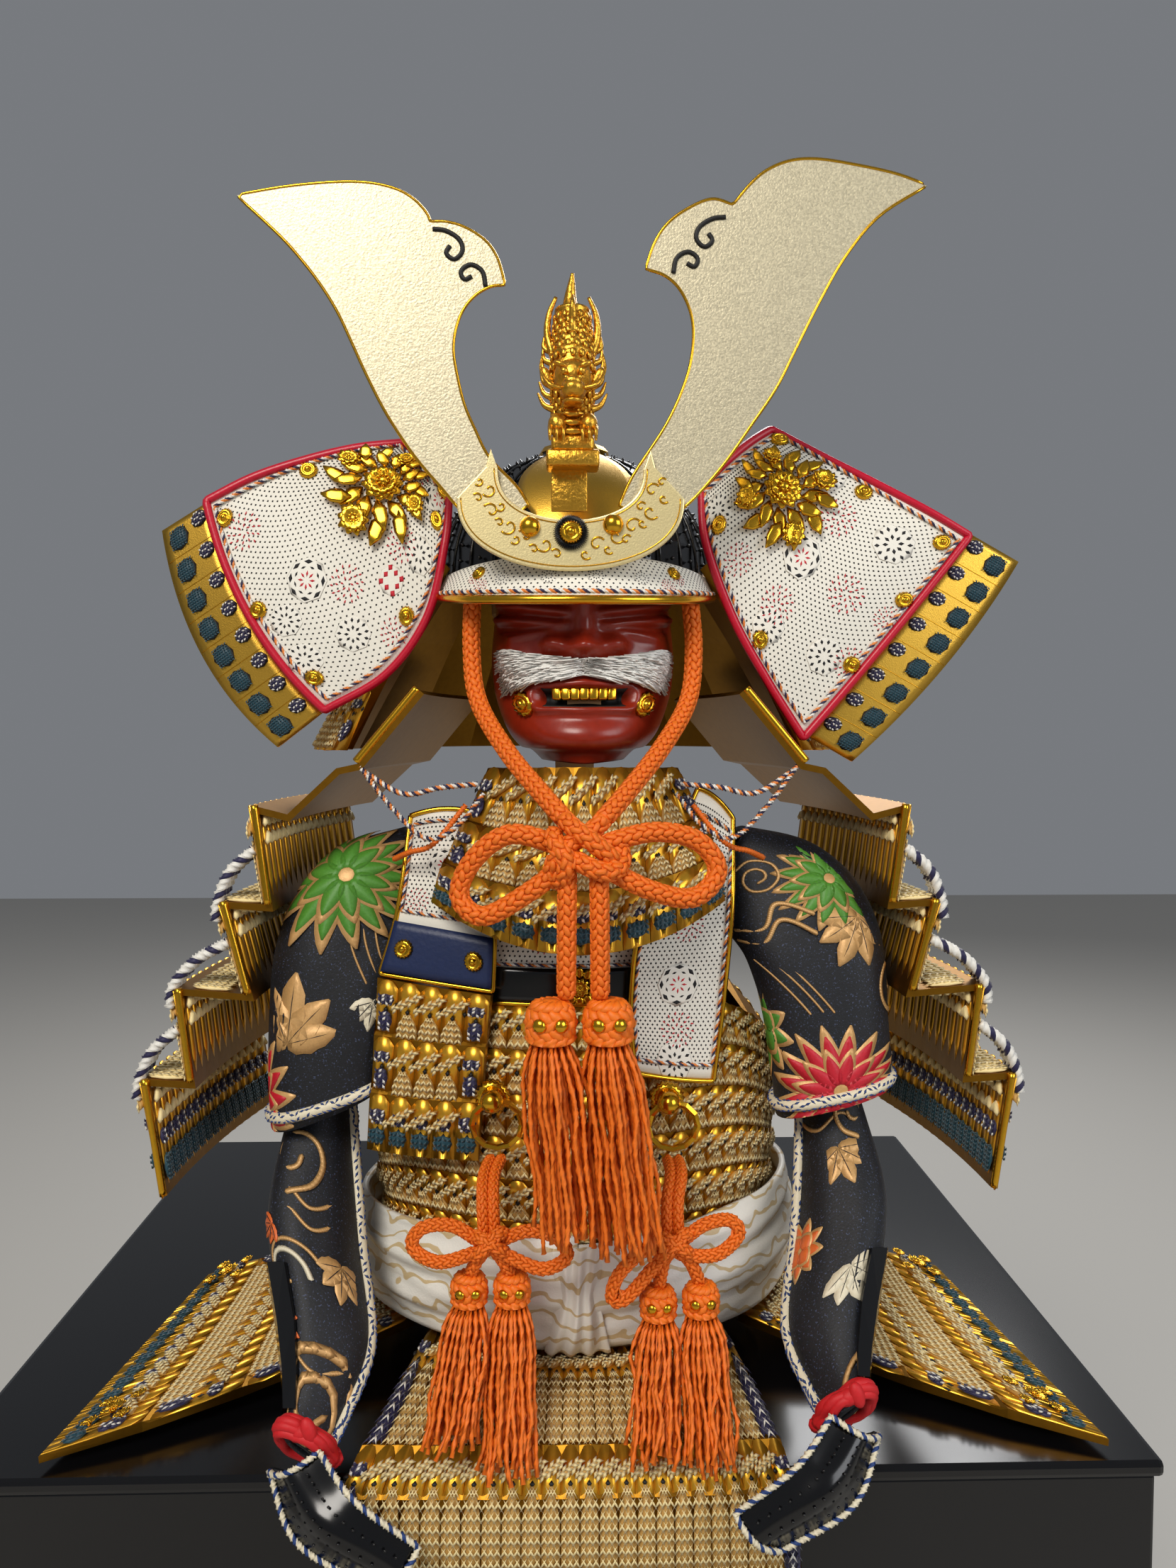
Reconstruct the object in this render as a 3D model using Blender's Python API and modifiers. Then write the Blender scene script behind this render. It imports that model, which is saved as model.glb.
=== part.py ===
"""Samurai display armour on a limbless wooden stand, on the lid of its lacquered chest.

Metres in Blender, millimetres in the tables. The origin lies on the floor under the stand's post,
+Z is up, the armour faces -Y, and the heights in the tables are taken from the top of the lid.
"""

import math
from collections import namedtuple

import bmesh
import bpy
from mathutils import Vector

MM = 0.001
SEAT = 0.3                # gap between two pieces that touch
LID_TOP = 280.0           # lid top above the floor
CHEST_LEFT, CHEST_RIGHT = -193.0, 177.0
CHEST_FRONT, CHEST_BACK = -95.0, 189.0
LID_THICK = 5.0
PLATE = 2.2               # wall of lacquered or gilt lame rows
CLOTH = 2.0               # wall of brocade sleeves
CORD = 2.7                # radius of the thick braided cords
THIN_CORD = 2.2           # radius of the side cords

CUIRASS_X, CUIRASS_Y = 72.0, 59.0
CUIRASS_LOW, CUIRASS_HIGH, ARMHOLE_DROP = 17.0, 131.0, 24.0
CUIRASS_ROWS = 8
SKIRT_ROWS = 4
SKIRT_LAMES = 18

Section = namedtuple("Section", "left middle right")
Ring = namedtuple("Ring", "x y z half_x half_y tilt lean")
Step = namedtuple("Step", "out z")


def clear_scene():
    for old in list(bpy.data.objects):
        bpy.data.objects.remove(old, do_unlink=True)


def collection(name):
    made = bpy.data.collections.new(name)
    bpy.context.scene.collection.children.link(made)
    return made


def paint(name, colour, metallic=0.0, roughness=0.5):
    made = bpy.data.materials.new(name)
    made.use_nodes = True
    shader = made.node_tree.nodes["Principled BSDF"]
    shader.inputs["Base Color"].default_value = (*colour, 1.0)
    shader.inputs["Metallic"].default_value = metallic
    shader.inputs["Roughness"].default_value = roughness
    return made


def body(name, shape, material, lift=LID_TOP):
    """One closed body from a bmesh in millimetres above the lid."""
    bmesh.ops.translate(shape, vec=(0, 0, lift), verts=shape.verts)
    bmesh.ops.scale(shape, vec=(MM, MM, MM), verts=shape.verts)
    bmesh.ops.recalc_face_normals(shape, faces=shape.faces)
    if shape.calc_volume(signed=True) < 0:
        bmesh.ops.reverse_faces(shape, faces=shape.faces)
    bmesh.ops.triangulate(shape, faces=shape.faces, quad_method="BEAUTY")
    mesh = bpy.data.meshes.new(name)
    shape.to_mesh(mesh)
    shape.free()
    mesh.materials.append(material)
    made = bpy.data.objects.new(name, mesh)
    ARMOUR.objects.link(made)
    return made


def solid(name, points, faces, material):
    """A lofted body from its points and faces."""
    shape = bmesh.new()
    verts = [shape.verts.new(p) for p in points]
    for face in faces:
        shape.faces.new([verts[i] for i in face])
    return body(name, shape, material)


def joined(name, pieces):
    """Union of overlapping solids under one name."""
    first = pieces[0]
    for other in pieces[1:]:
        ARMOUR.objects.unlink(other)
        CUTTERS.objects.link(other)
        other.hide_render = True
        other.display_type = "WIRE"
        union = first.modifiers.new("join " + other.name, "BOOLEAN")
        union.operation, union.solver, union.object = "UNION", "EXACT", other
    first.name = name
    return first


def spline(keys, t):
    """Point at t, 0 to 1, on a smooth curve through evenly spaced keys."""
    spans = len(keys) - 1
    s = min(max(t, 0.0), 1.0) * spans
    i = min(int(s), spans - 1)
    f = s - i
    b, c = keys[i], keys[i + 1]
    a = keys[i - 1] if i else 2 * b - c
    d = keys[i + 2] if i + 2 <= spans else 2 * c - b
    return 0.5 * (2 * b + (c - a) * f + (2 * a - 5 * b + 4 * c - d) * f ** 2
                  + (3 * b - a - 3 * c + d) * f ** 3)


def spread(count):
    return [i / count for i in range(count + 1)]


def across(count):
    return [2.0 * i / count - 1.0 for i in range(count + 1)]


def patch(sections):
    """Surface over sections that each run left, middle, right: u is -1 to 1, v is 0 to 1."""
    lefts = [Vector(s.left) for s in sections]
    middles = [Vector(s.middle) for s in sections]
    rights = [Vector(s.right) for s in sections]

    def surface(u, v):
        return (spline(lefts, v) * (u * (u - 1) / 2) + spline(middles, v) * (1 - u * u)
                + spline(rights, v) * (u * (u + 1) / 2))
    return surface


def lifted(surface, u, v, lift, face):
    """Surface point moved out along its normal, on the side that face points to."""
    e = 0.01
    along = surface(u + e, v) - surface(u - e, v)
    down = surface(u, min(v + e, 1.0)) - surface(u, max(v - e, 0.0))
    normal = along.cross(down).normalized()
    if callable(face):
        way = face(surface(u, v))
    else:
        way = Vector(face)
    return surface(u, v) + normal * (lift if normal.dot(way) >= 0 else -lift)


def stitch(faces, a, a_at, b, b_at):
    """Triangles between two chains of points that run along the same edge."""
    i = j = 0
    while i < len(a) - 1 or j < len(b) - 1:
        if j == len(b) - 1 or (i < len(a) - 1 and a_at[i + 1] <= b_at[j + 1]):
            faces.append((a[i], a[i + 1], b[j]))
            i += 1
        else:
            faces.append((a[i], b[j + 1], b[j]))
            j += 1


def grid_faces(faces, start, wide, high, closed):
    for i in range(high - 1):
        for j in range(wide if closed else wide - 1):
            k = (j + 1) % wide
            faces.append((start + i * wide + j, start + i * wide + k,
                          start + (i + 1) * wide + k, start + (i + 1) * wide + j))


def wall(name, surface, columns, lines, thick, face, material, inner=(4, 4), closed=False,
         ribs=None):
    """Closed wall: outer grid with raised lines, and a plain, coarser inner grid.

    lines holds (v, lift) pairs. ribs(u, v) is added to the lift. closed joins the first and last
    columns into a ring, where u runs 0 to 1.
    """
    across_at = columns[:-1] if closed else columns
    points, faces = [], []
    for v, lift in lines:
        for u in across_at:
            more = ribs(u, v) if ribs else 0.0
            points.append(lifted(surface, u, v, lift + more, face))
    wide, high = len(across_at), len(lines)
    grid_faces(faces, 0, wide, high, closed)
    base = len(points)
    low, top = columns[0], columns[-1]
    inner_u = [low + (top - low) * t for t in spread(inner[0])]
    if closed:
        inner_u = inner_u[:-1]
    first, last = lines[0][0], lines[-1][0]
    inner_v = [first + (last - first) * t for t in spread(inner[1])]
    for v in inner_v:
        for u in inner_u:
            points.append(lifted(surface, u, v, -thick, face))
    in_wide, in_high = len(inner_u), len(inner_v)
    grid_faces(faces, base, in_wide, in_high, closed)
    v_at = [v for v, _ in lines]
    for row, in_row in ((0, 0), (high - 1, in_high - 1)):
        a = [row * wide + j for j in range(wide)]
        b = [base + in_row * in_wide + j for j in range(in_wide)]
        a_at, b_at = list(across_at), list(inner_u)
        if closed:
            a, b, a_at, b_at = a + a[:1], b + b[:1], a_at + [top], b_at + [top]
        stitch(faces, a, a_at, b, b_at)
    if not closed:
        for column, in_column in ((0, 0), (wide - 1, in_wide - 1)):
            a = [i * wide + column for i in range(high)]
            b = [base + i * in_wide + in_column for i in range(in_high)]
            stitch(faces, a, v_at, b, inner_v)
    return solid(name, points, faces, material)


def row_lines(rows, tip=1.1, plate=0.5, tuck=0.0):
    """Saw-tooth of overlapping rows: tips stand out, laces run back under the next row's tips."""
    lines = []
    for row in range(rows):
        lines += [(row / rows, tip), ((row + 0.93) / rows, tuck)]
        if plate is not None:
            lines.insert(-1, ((row + 0.40) / rows, plate))
    return lines + [(1.0, tuck)]


def sweep(path, radius, sides=6, closed=False):
    """Points and faces of a round tube along a path."""
    path = [Vector(p) for p in path]
    count = len(path)
    points, faces = [], []
    ahead = (path[1] - path[0]).normalized()
    aside = ahead.orthogonal().normalized()
    for i, centre in enumerate(path):
        before = path[i - 1] if i or closed else path[i]
        after = path[(i + 1) % count] if i + 1 < count or closed else path[i]
        ahead = (after - before).normalized()
        aside = (aside - ahead * aside.dot(ahead)).normalized()
        up = ahead.cross(aside)
        r = radius(i / (count - 1)) if callable(radius) else radius
        for k in range(sides):
            turn = math.tau * k / sides
            points.append(centre + aside * (r * math.cos(turn)) + up * (r * math.sin(turn)))
    grid_faces(faces, 0, sides, count, True)
    if closed:
        for k in range(sides):
            faces.append(((count - 1) * sides + k, (count - 1) * sides + (k + 1) % sides,
                          (k + 1) % sides, k))
    else:
        faces.append(tuple(range(sides))[::-1])
        faces.append(tuple((count - 1) * sides + k for k in range(sides)))
    return points, faces


def cord(name, keys, steps, radius, material, sides=6):
    keys = [Vector(k) for k in keys]
    return solid(name, *sweep([spline(keys, t) for t in spread(steps)], radius, sides), material)


def hoop(name, centre, big, small, tip, material, steps=16, sides=6):
    """Round ring in the plane that faces -Y, tipped back."""
    path = [Vector((centre[0] + big * math.cos(math.tau * i / steps),
                    centre[1] + big * math.sin(math.tau * i / steps) * math.sin(tip),
                    centre[2] + big * math.sin(math.tau * i / steps) * math.cos(tip)))
            for i in range(steps)]
    return solid(name, *sweep(path, small, sides, True), material)


def lathe(name, centre, profile, sides, material):
    """Solid turned about a vertical axis, from (radius, z) pairs, with flat ends."""
    shape = bmesh.new()
    line = [shape.verts.new((radius, 0, z)) for radius, z in profile]
    for low, top in zip(line, line[1:]):
        shape.edges.new((low, top))
    bmesh.ops.spin(shape, geom=shape.verts[:] + shape.edges[:], cent=(0, 0, 0), axis=(0, 0, 1),
                   angle=math.tau, steps=sides, use_merge=True)
    bmesh.ops.holes_fill(shape, edges=shape.edges, sides=sides)
    bmesh.ops.translate(shape, vec=(centre[0], centre[1], 0), verts=shape.verts)
    return body(name, shape, material)


def box(name, low, high, material, lift=LID_TOP):
    low, high = Vector(low), Vector(high)
    shape = bmesh.new()
    bmesh.ops.create_cube(shape, size=1.0)
    bmesh.ops.scale(shape, vec=high - low, verts=shape.verts)
    bmesh.ops.translate(shape, vec=(low + high) / 2, verts=shape.verts)
    return body(name, shape, material, lift)


def rounded(made, width, segments):
    bevel = made.modifiers.new("rounded edges", "BEVEL")
    bevel.width, bevel.segments, bevel.limit_method = width * MM, segments, "ANGLE"
    return made


def ball(name, centre, radii, material, sides=8, rows=5):
    shape = bmesh.new()
    bmesh.ops.create_uvsphere(shape, u_segments=sides, v_segments=rows, radius=1.0)
    bmesh.ops.scale(shape, vec=radii, verts=shape.verts)
    bmesh.ops.translate(shape, vec=centre, verts=shape.verts)
    return body(name, shape, material)


def plate_from_outline(name, outline, front, thick, material):
    """Flat plate whose outline of (x, z) faces -Y, front at y = front."""
    shape = bmesh.new()
    shape.faces.new([shape.verts.new((x, front, z)) for x, z in outline])
    grown = bmesh.ops.extrude_face_region(shape, geom=shape.faces[:])["geom"]
    back = [part for part in grown if isinstance(part, bmesh.types.BMVert)]
    bmesh.ops.translate(shape, vec=(0, thick, 0), verts=back)
    return body(name, shape, material)


def chest():
    case = box("chest_box", (CHEST_LEFT + 2, CHEST_FRONT + 2, 0.0),
               (CHEST_RIGHT - 2, CHEST_BACK - 2, LID_TOP - LID_THICK - SEAT), BLACK_LACQUER, 0.0)
    rounded(case, 1.0, 2)
    lid = box("chest_lid", (CHEST_LEFT, CHEST_FRONT, LID_TOP - LID_THICK),
              (CHEST_RIGHT, CHEST_BACK, LID_TOP), BLACK_LACQUER, 0.0)
    rounded(lid, 1.6, 2)


def stand():
    post = box("armour_stand", (-7, -7, 3.0), (7, 7, 262), BARE_WOOD)
    foot = lathe("stand_foot", (0, 0), [(44, SEAT), (44, 6), (40, 8)], 16, BARE_WOOD)
    bar = box("stand_bar", (-44, -6, 168), (44, 6, 180), BARE_WOOD)
    head = lathe("stand_head", (0, -2), [(22, 250), (30, 262), (31, 285), (20, 309.6), (8, 314.4)],
                 12, BARE_WOOD)
    arm = box("stand_arm", (-3, -50.5, 228), (8, 3, 236), BARE_WOOD)
    joined("armour_stand", [post, foot, bar, head, arm])


BOWL = dict(x=0.0, y=-2.0, z=270.0, half_x=49.0, half_y=56.0, high=48.0)


def bowl_surface(u, v):
    """u once round from the front, v from the crown hole down to the rim."""
    turn = math.tau * u - math.pi / 2
    polar = math.radians(10 + 80 * v)
    return Vector((BOWL["x"] + BOWL["half_x"] * math.sin(polar) * math.cos(turn),
                   BOWL["y"] + BOWL["half_y"] * math.sin(polar) * math.sin(turn),
                   BOWL["z"] + BOWL["high"] * math.cos(polar) ** 0.9))


def outward(centre):
    return lambda point: point - Vector(centre)


def helmet():
    wall("helmet_bowl", bowl_surface, spread(24), [(v, 0.0) for v in spread(6)], 2.4,
         outward((0, 0, 265)), BLACK_LACQUER, (12, 4), closed=True,
         ribs=lambda u, v: 0.5 if round(u * 24) % 2 else 0.0)
    path = [Vector((11 * math.cos(math.tau * i / 14), -2 + 12 * math.sin(math.tau * i / 14), 319.7))
            for i in range(14)]
    solid("crown_ring", *sweep(path, 2.0, 5, True), GOLD)


VISOR_HALF_TURN = math.radians(58)


def visor_surface(u, v):
    """Brim that hugs the bowl's front rim and slopes down and forward."""
    turn = u * VISOR_HALF_TURN
    reach = 2.8 + 11.5 * v * math.cos(turn * 1.25)
    z = 276.0 - 4.0 * u * u + (-15.5 + 8.5 * u * u) * v ** 1.15
    return Vector(((BOWL["half_x"] + reach) * math.sin(turn),
                   BOWL["y"] - (BOWL["half_y"] + reach) * math.cos(turn), z))


def visor():
    wall("visor", visor_surface, across(14), [(v, 0.0) for v in spread(3)], 2.2, (0, -1, 0.3),
         PRINTED_LEATHER, (8, 2))


HORN_RIGHT = [(21.0, 284.0), (32.0, 288.5), (44.0, 301.0), (54.3, 315.3), (61.5, 326.0),
              (67.0, 337.0),
              (74.5, 352.0), (82.5, 366.0), (93.0, 378.5), (107.8, 387.8), (98.0, 391.2), (85.0, 393.8),
              (74.0, 395.3), (65.7, 394.8), (58.5, 392.0), (53.0, 387.5), (47.8, 381.3), (41.5, 383.0),
              (34.6, 380.4), (28.0, 375.8), (23.7, 369.7), (20.9, 361.8), (27.0, 359.8), (31.8, 355.4),
              (35.2, 347.8), (35.7, 339.0), (33.6, 328.5), (27.6, 314.9), (17.5, 299.5), (13.0, 290.0)]
HORN_LEFT = [(-23.0, 284.0), (-34.0, 286.8), (-42.4, 295.7), (-48.9, 303.2), (-54.3, 310.7),
             (-59.6, 319.3),
             (-64.9, 329.9), (-69.2, 339.5), (-73.4, 348.4), (-78.7, 356.8), (-85.0, 364.8), (-91.3, 371.5),
             (-103.4, 382.5), (-89.0, 385.1), (-75.1, 386.6), (-64.4, 386.7), (-55.8, 385.1), (-50.1, 382.2),
             (-46.2, 378.3), (-44.7, 375.3), (-39.4, 375.2), (-33.8, 373.5), (-28.0, 369.8), (-24.3, 364.5),
             (-22.0, 356.5), (-26.5, 356.0), (-31.3, 353.2), (-35.0, 348.7), (-37.2, 342.9), (-37.9, 336.5),
             (-36.8, 329.1), (-34.7, 320.5), (-31.5, 313.0), (-27.1, 304.4), (-19.0, 296.0), (-15.0, 290.0)]
HORN_FRONT = -66.9


def horns():
    plate_from_outline("horn_right", HORN_RIGHT, HORN_FRONT, 1.6, FROSTED_GOLD)
    plate_from_outline("horn_left", HORN_LEFT, HORN_FRONT, 1.6, FROSTED_GOLD)
    arc = []
    for i in range(13):
        turn = math.pi * i / 12
        arc.append((-2 - 35.0 * math.cos(turn), 291.5 - 22.0 * math.sin(turn) ** 0.85))
    for i in range(9):
        turn = math.pi * (8 - i) / 8
        arc.append((-2 - 22.4 * math.cos(turn), 300.5 - 15.5 * math.sin(turn) ** 0.8))
    plate_from_outline("horn_base", arc, HORN_FRONT - 2.7, 2.4, GOLD)


def crest():
    """Gilt dragon, paws on a scroll block, on a flat bracket."""
    y = HORN_FRONT - 5.0
    parts = [box("dragon_crest", (-8.0, y, 283.0), (3.0, y + 1.8, 303.0), GOLD)]
    parts.append(box("crest_block", (-9.5, y - 7, 299.5), (6.5, y + 4, 309.0), GOLD))
    parts.append(cord("crest_neck", [(-1.5, y + 1, 306), (-1.5, y + 3, 318), (-1.5, y - 1, 330),
                                     (-1.5, y + 2, 341), (-1.5, y + 3, 348)], 5,
                      lambda s: 5.2 + 1.2 * math.sin(math.pi * s), GOLD, 7))
    parts.append(ball("crest_head", (-1.5, y - 4.5, 325.5), (6.2, 7.0, 6.0), GOLD))
    parts.append(ball("crest_snout", (-1.5, y - 9.5, 320.5), (4.4, 5.5, 3.6), GOLD, 8, 4))
    for side, name in ((-1, "left"), (1, "right")):
        parts.append(ball("crest_ear_" + name, (-1.5 + side * 7.8, y - 1, 326.5),
                          (3.0, 1.8, 4.2), GOLD, 6, 4))
        parts.append(ball("crest_paw_" + name, (-1.5 + side * 4.6, y - 6.5, 311.5),
                          (3.0, 4.0, 4.0), GOLD, 6, 4))
        parts.append(cord("crest_horn_" + name, [(-1.5 + side * 4.0, y - 1, 330),
                                                 (-1.5 + side * 6.0, y + 1, 340),
                                                 (-1.5 + side * 5.0, y + 1, 351.5)], 3,
                          lambda s: 1.5 - 0.7 * s, GOLD, 5))
    parts.append(cord("crest_tail", [(-1.5, y + 3, 344), (-1.5, y + 1, 350), (-1.5, y - 1, 358)], 3,
                      lambda s: 3.4 - 2.7 * s, GOLD, 6))
    joined("dragon_crest", parts)


NECK_GUARD = dict(top_x=52.8, top_y=59.8, low_x=94.0, low_y=92.0, top_z=276.0, low_z=214.0,
                  end_deg=-34.0, front_flat=0.45)


def neck_guard_surface(u, v):
    """Steep cone round the back of the bowl, u -1 to 1 from the left front to the right front."""
    g = NECK_GUARD
    turn = math.radians(90 - u * (90 - g["end_deg"]))
    curve = v ** 0.92
    x = g["top_x"] + (g["low_x"] - g["top_x"]) * curve
    y = g["top_y"] + (g["low_y"] - g["top_y"]) * curve
    if turn < 0 or turn > math.pi:
        y *= 1.0 - g["front_flat"] * v
    return Vector((x * math.cos(turn), -2 + y * math.sin(turn),
                   g["top_z"] + (g["low_z"] - g["top_z"]) * v))


def neck_guard():
    wall("neck_guard", neck_guard_surface, across(26), row_lines(3, 1.2, None, -0.3), 2.4,
         outward((0, 0, 250)), GOLD_LAMES, (13, 3))


WING_RIGHT = [
    Section((42.5, -33.0, 302.0), (55.0, -31, 314.5), (67.5, -26, 323.5)),
    Section((43.5, -38.5, 283.0), (67.0, -36, 299.5), (86.5, -27, 313.5)),
    Section((52.5, -39.7, 258.0), (79.5, -38, 279.0), (105.0, -29, 303.8)),
    Section((64.5, -38.4, 237.0), (91.0, -38, 263.0), (121.5, -31, 294.7)),
    Section((77.5, -35.5, 217.5), (107.0, -34, 252.0), (135.5, -30, 287.0)),
]
STRIP_RIGHT = [
    Section((136.6, -26.4, 288.4), (108.5, -30.4, 253.0), (79.5, -32.1, 218.5)),
    Section((155.0, -24.0, 279.0), (128.5, -27.5, 242.5), (95.5, -31.0, 209.5)),
]
WING_LEFT = [
    Section((-58.0, -27.0, 318.0), (-50.0, -30.0, 309.5), (-42.5, -33.0, 301.0)),
    Section((-74.5, -27.5, 316.0), (-61.0, -33.0, 300.5), (-43.5, -38.5, 283.0)),
    Section((-92.0, -28.5, 311.5), (-76.0, -35.5, 287.0), (-49.5, -39.7, 258.0)),
    Section((-109.0, -29.5, 305.5), (-93.0, -36.5, 270.0), (-63.5, -38.4, 239.0)),
    Section((-124.5, -30.0, 297.5), (-109.5, -34.0, 258.5), (-84.5, -35.5, 227.0)),
]
STRIP_LEFT = [
    Section((-125.2, -27.1, 297.6), (-110.2, -31.2, 257.7), (-85.7, -32.8, 226.4)),
    Section((-141.5, -24.0, 288.5), (-128.0, -27.5, 246.5), (-101.5, -31.0, 214.5)),
]


def mirrored(sections, shift=0.0, rise=0.0):
    """The same panel on the other side: x changes sign, and left and right swap."""
    def turn(p):
        return (shift - p[0], p[1], p[2] + rise)
    return [Section(turn(s.right), turn(s.middle), turn(s.left)) for s in sections]


PEONY = {"left": (-0.18, 0.26), "right": (0.12, 0.25)}


def wings():
    for side in ("left", "right"):
        if side == "right":
            sections, strip = WING_RIGHT, STRIP_RIGHT
        else:
            sections, strip = WING_LEFT, STRIP_LEFT
        wall("wing_" + side, patch(sections), across(8), [(v, 0.0) for v in spread(7)], 2.4,
             (0, -1, 0), PRINTED_LEATHER, (4, 4))
        wall("wing_strip_" + side, patch(strip), across(12), [(0.0, 0.6), (0.45, 0.3), (1.0, 0.0)],
             1.8, (0, -1, 0), GOLD_LAMES, (6, 1))
        surface, low = patch(sections), []
        for ring, lift in ((1.0, 1.0), (0.8, 2.6), (0.3, 3.2)):
            for k in range(12):
                turn = math.tau * k / 12
                wave = 1.0 + 0.16 * math.cos(4 * turn)
                u = PEONY[side][0] + 0.50 * ring * wave * math.cos(turn)
                v = PEONY[side][1] + 0.21 * ring * wave * math.sin(turn)
                low.append(lifted(surface, u, v, lift, (0, -1, 0)))
        faces = []
        grid_faces(faces, 0, 12, 3, True)
        faces += [tuple(range(12)), tuple(range(24, 36))]
        solid("peony_mount_" + side, low, faces, GOLD)


MASK_CENTRE = 2.5
MASK = [
    # half width, front y, height for each level from brow to chin
    (29.0, -52.0, 265.0),
    (30.5, -52.0, 254.0),
    (31.0, -53.0, 243.0),
    (29.5, -55.0, 231.0),
    (24.5, -57.0, 219.0),
    (15.5, -55.0, 209.0),
]


def bump(u, v, at_u, at_v, wide, high):
    return math.exp(-((u - at_u) / wide) ** 2 - ((v - at_v) / high) ** 2)


def mask_relief(u, v):
    """Brows, nose, cheeks, lips and chin, in millimetres of lift."""
    a = abs(u)
    lift = 9.5 * bump(u, v, 0, 0.37, 0.17, 0.11) + 6.0 * bump(u, v, 0, 0.20, 0.10, 0.16)
    lift += 2.6 * bump(a, v, 0.20, 0.41, 0.10, 0.06)
    lift += 3.2 * bump(a, v, 0.46, 0.10, 0.30, 0.055) - 2.2 * bump(a, v, 0.46, 0.24, 0.20, 0.06)
    lift += 3.0 * bump(a, v, 0.62, 0.40, 0.22, 0.12)
    lift += 2.8 * bump(u, v, 0, 0.60, 0.62, 0.045) + 3.6 * bump(u, v, 0, 0.775, 0.50, 0.045)
    lift -= 4.6 * bump(u, v, 0, 0.69, 0.50, 0.038)
    lift += 2.0 * bump(u, v, 0, 0.92, 0.35, 0.07)
    return lift


def mask_surface(u, v):
    half, front, z = spline([Vector(level) for level in MASK], v)
    turn = u * math.radians(80)
    return Vector((MASK_CENTRE + half * math.sin(turn) / math.sin(math.radians(80)),
                   front + 29.0 * (1 - math.cos(turn)), z))


def face_mask():
    wall("face_mask", mask_surface, across(18), [(v, 0.0) for v in spread(17)], 2.0,
         (0, -1, 0), RED_LACQUER, (6, 5), ribs=mask_relief)
    faces_out = (0, -1, 0)
    points, faces = [], []
    stations, around = 14, 6
    for i in range(stations + 1):
        u = -0.86 + 1.72 * i / stations
        mid = 0.545 + 0.10 * abs(u) ** 1.5
        full = math.sin(math.pi * min(max((u + 0.93) / 1.86, 0.04), 0.96)) ** 0.5
        dip = 1.0 - 0.45 * math.exp(-(u / 0.10) ** 2)
        for k in range(around):
            turn = math.tau * k / around
            v = mid + 0.075 * full * dip * math.sin(turn)
            proud = 4.6 * full * dip * max(0.0, 0.5 - 0.5 * math.cos(turn))
            points.append(lifted(mask_surface, u, v, mask_relief(u, v) + 0.7 + proud, faces_out)
                          + Vector((0, -0.6, 0)))
    grid_faces(faces, 0, around, stations + 1, True)
    faces.append(tuple(range(around)))
    faces.append(tuple(stations * around + k for k in range(around)))
    solid("moustache", points, faces, WHITE_HAIR)


THROAT = [
    Section((-29, -36, 207.0), (2, -58.5, 208.0), (34, -36, 207.0)),
    Section((-37, -46, 190.0), (2, -70, 187.0), (42, -46, 191.0)),
    Section((-43, -54, 177.0), (1, -78, 171.0), (46, -54, 180.0)),
    Section((-47, -58, 165.5), (0.6, -84, 153.0), (48, -58, 165.5)),
]


def throat_guard():
    wall("throat_guard", patch(THROAT), across(22), row_lines(3, 1.0, None, -0.2), 2.0, (0, -1, 0.2),
         GOLD_LAMES, (8, 3), ribs=lambda u, v: 0.35 if round((u + 1) * 11) % 2 else 0.0)


CHIN_LEFT = [(-34.0, -42.9, 268.6), (-34.5, -43.5, 247.0), (-32.0, -50.0, 230.0),
             (-22.0, -68.0, 214.0), (-10.5, -85.0, 201.2), (-4.0, -93.2, 194.5)]
CHIN_RIGHT = [(38.0, -42.2, 262.8), (39.0, -43.5, 247.0), (36.5, -50.0, 230.0),
              (26.0, -68.0, 214.5), (13.8, -85.0, 201.2), (7.0, -93.2, 194.5)]
BOW_LEFT = [(-6.5, -92.5, 188.0), (-20.0, -93.0, 190.5), (-31.0, -91.5, 182.5), (-35.0, -90.5, 172.0),
            (-28.0, -93.5, 166.5), (-15.0, -95.5, 173.5), (-4.5, -95.0, 181.5)]
BOW_RIGHT = [(9.0, -92.5, 188.5), (22.0, -92.5, 191.0), (35.0, -90.5, 188.0), (41.0, -89.5, 179.0),
             (33.5, -92.0, 171.5), (20.0, -95.0, 174.5), (7.5, -95.0, 181.5)]
TAILS = ((-3.4, 177.1, "left"), (5.6, 177.6, "right"))


def chin_bow():
    cord("chin_cord_left", CHIN_LEFT, 11, CORD, ORANGE_CORD)
    cord("chin_cord_right", CHIN_RIGHT, 11, CORD, ORANGE_CORD)
    knot = ball("chin_bow", (1.5, -94.5, 186.5), (9.4, 6.4, 8.0), ORANGE_CORD, 10, 6)
    joined("chin_bow", [knot, cord("bow_left", BOW_LEFT, 12, CORD, ORANGE_CORD),
                        cord("bow_right", BOW_RIGHT, 12, CORD, ORANGE_CORD)])
    for x, top, side in TAILS:
        cord("tail_cord_" + side, [(x, -97.6, top), (x * 1.05, -96.4, 160.0), (x * 1.1, -95.0, 142.7)],
             4, CORD, ORANGE_CORD)


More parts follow.
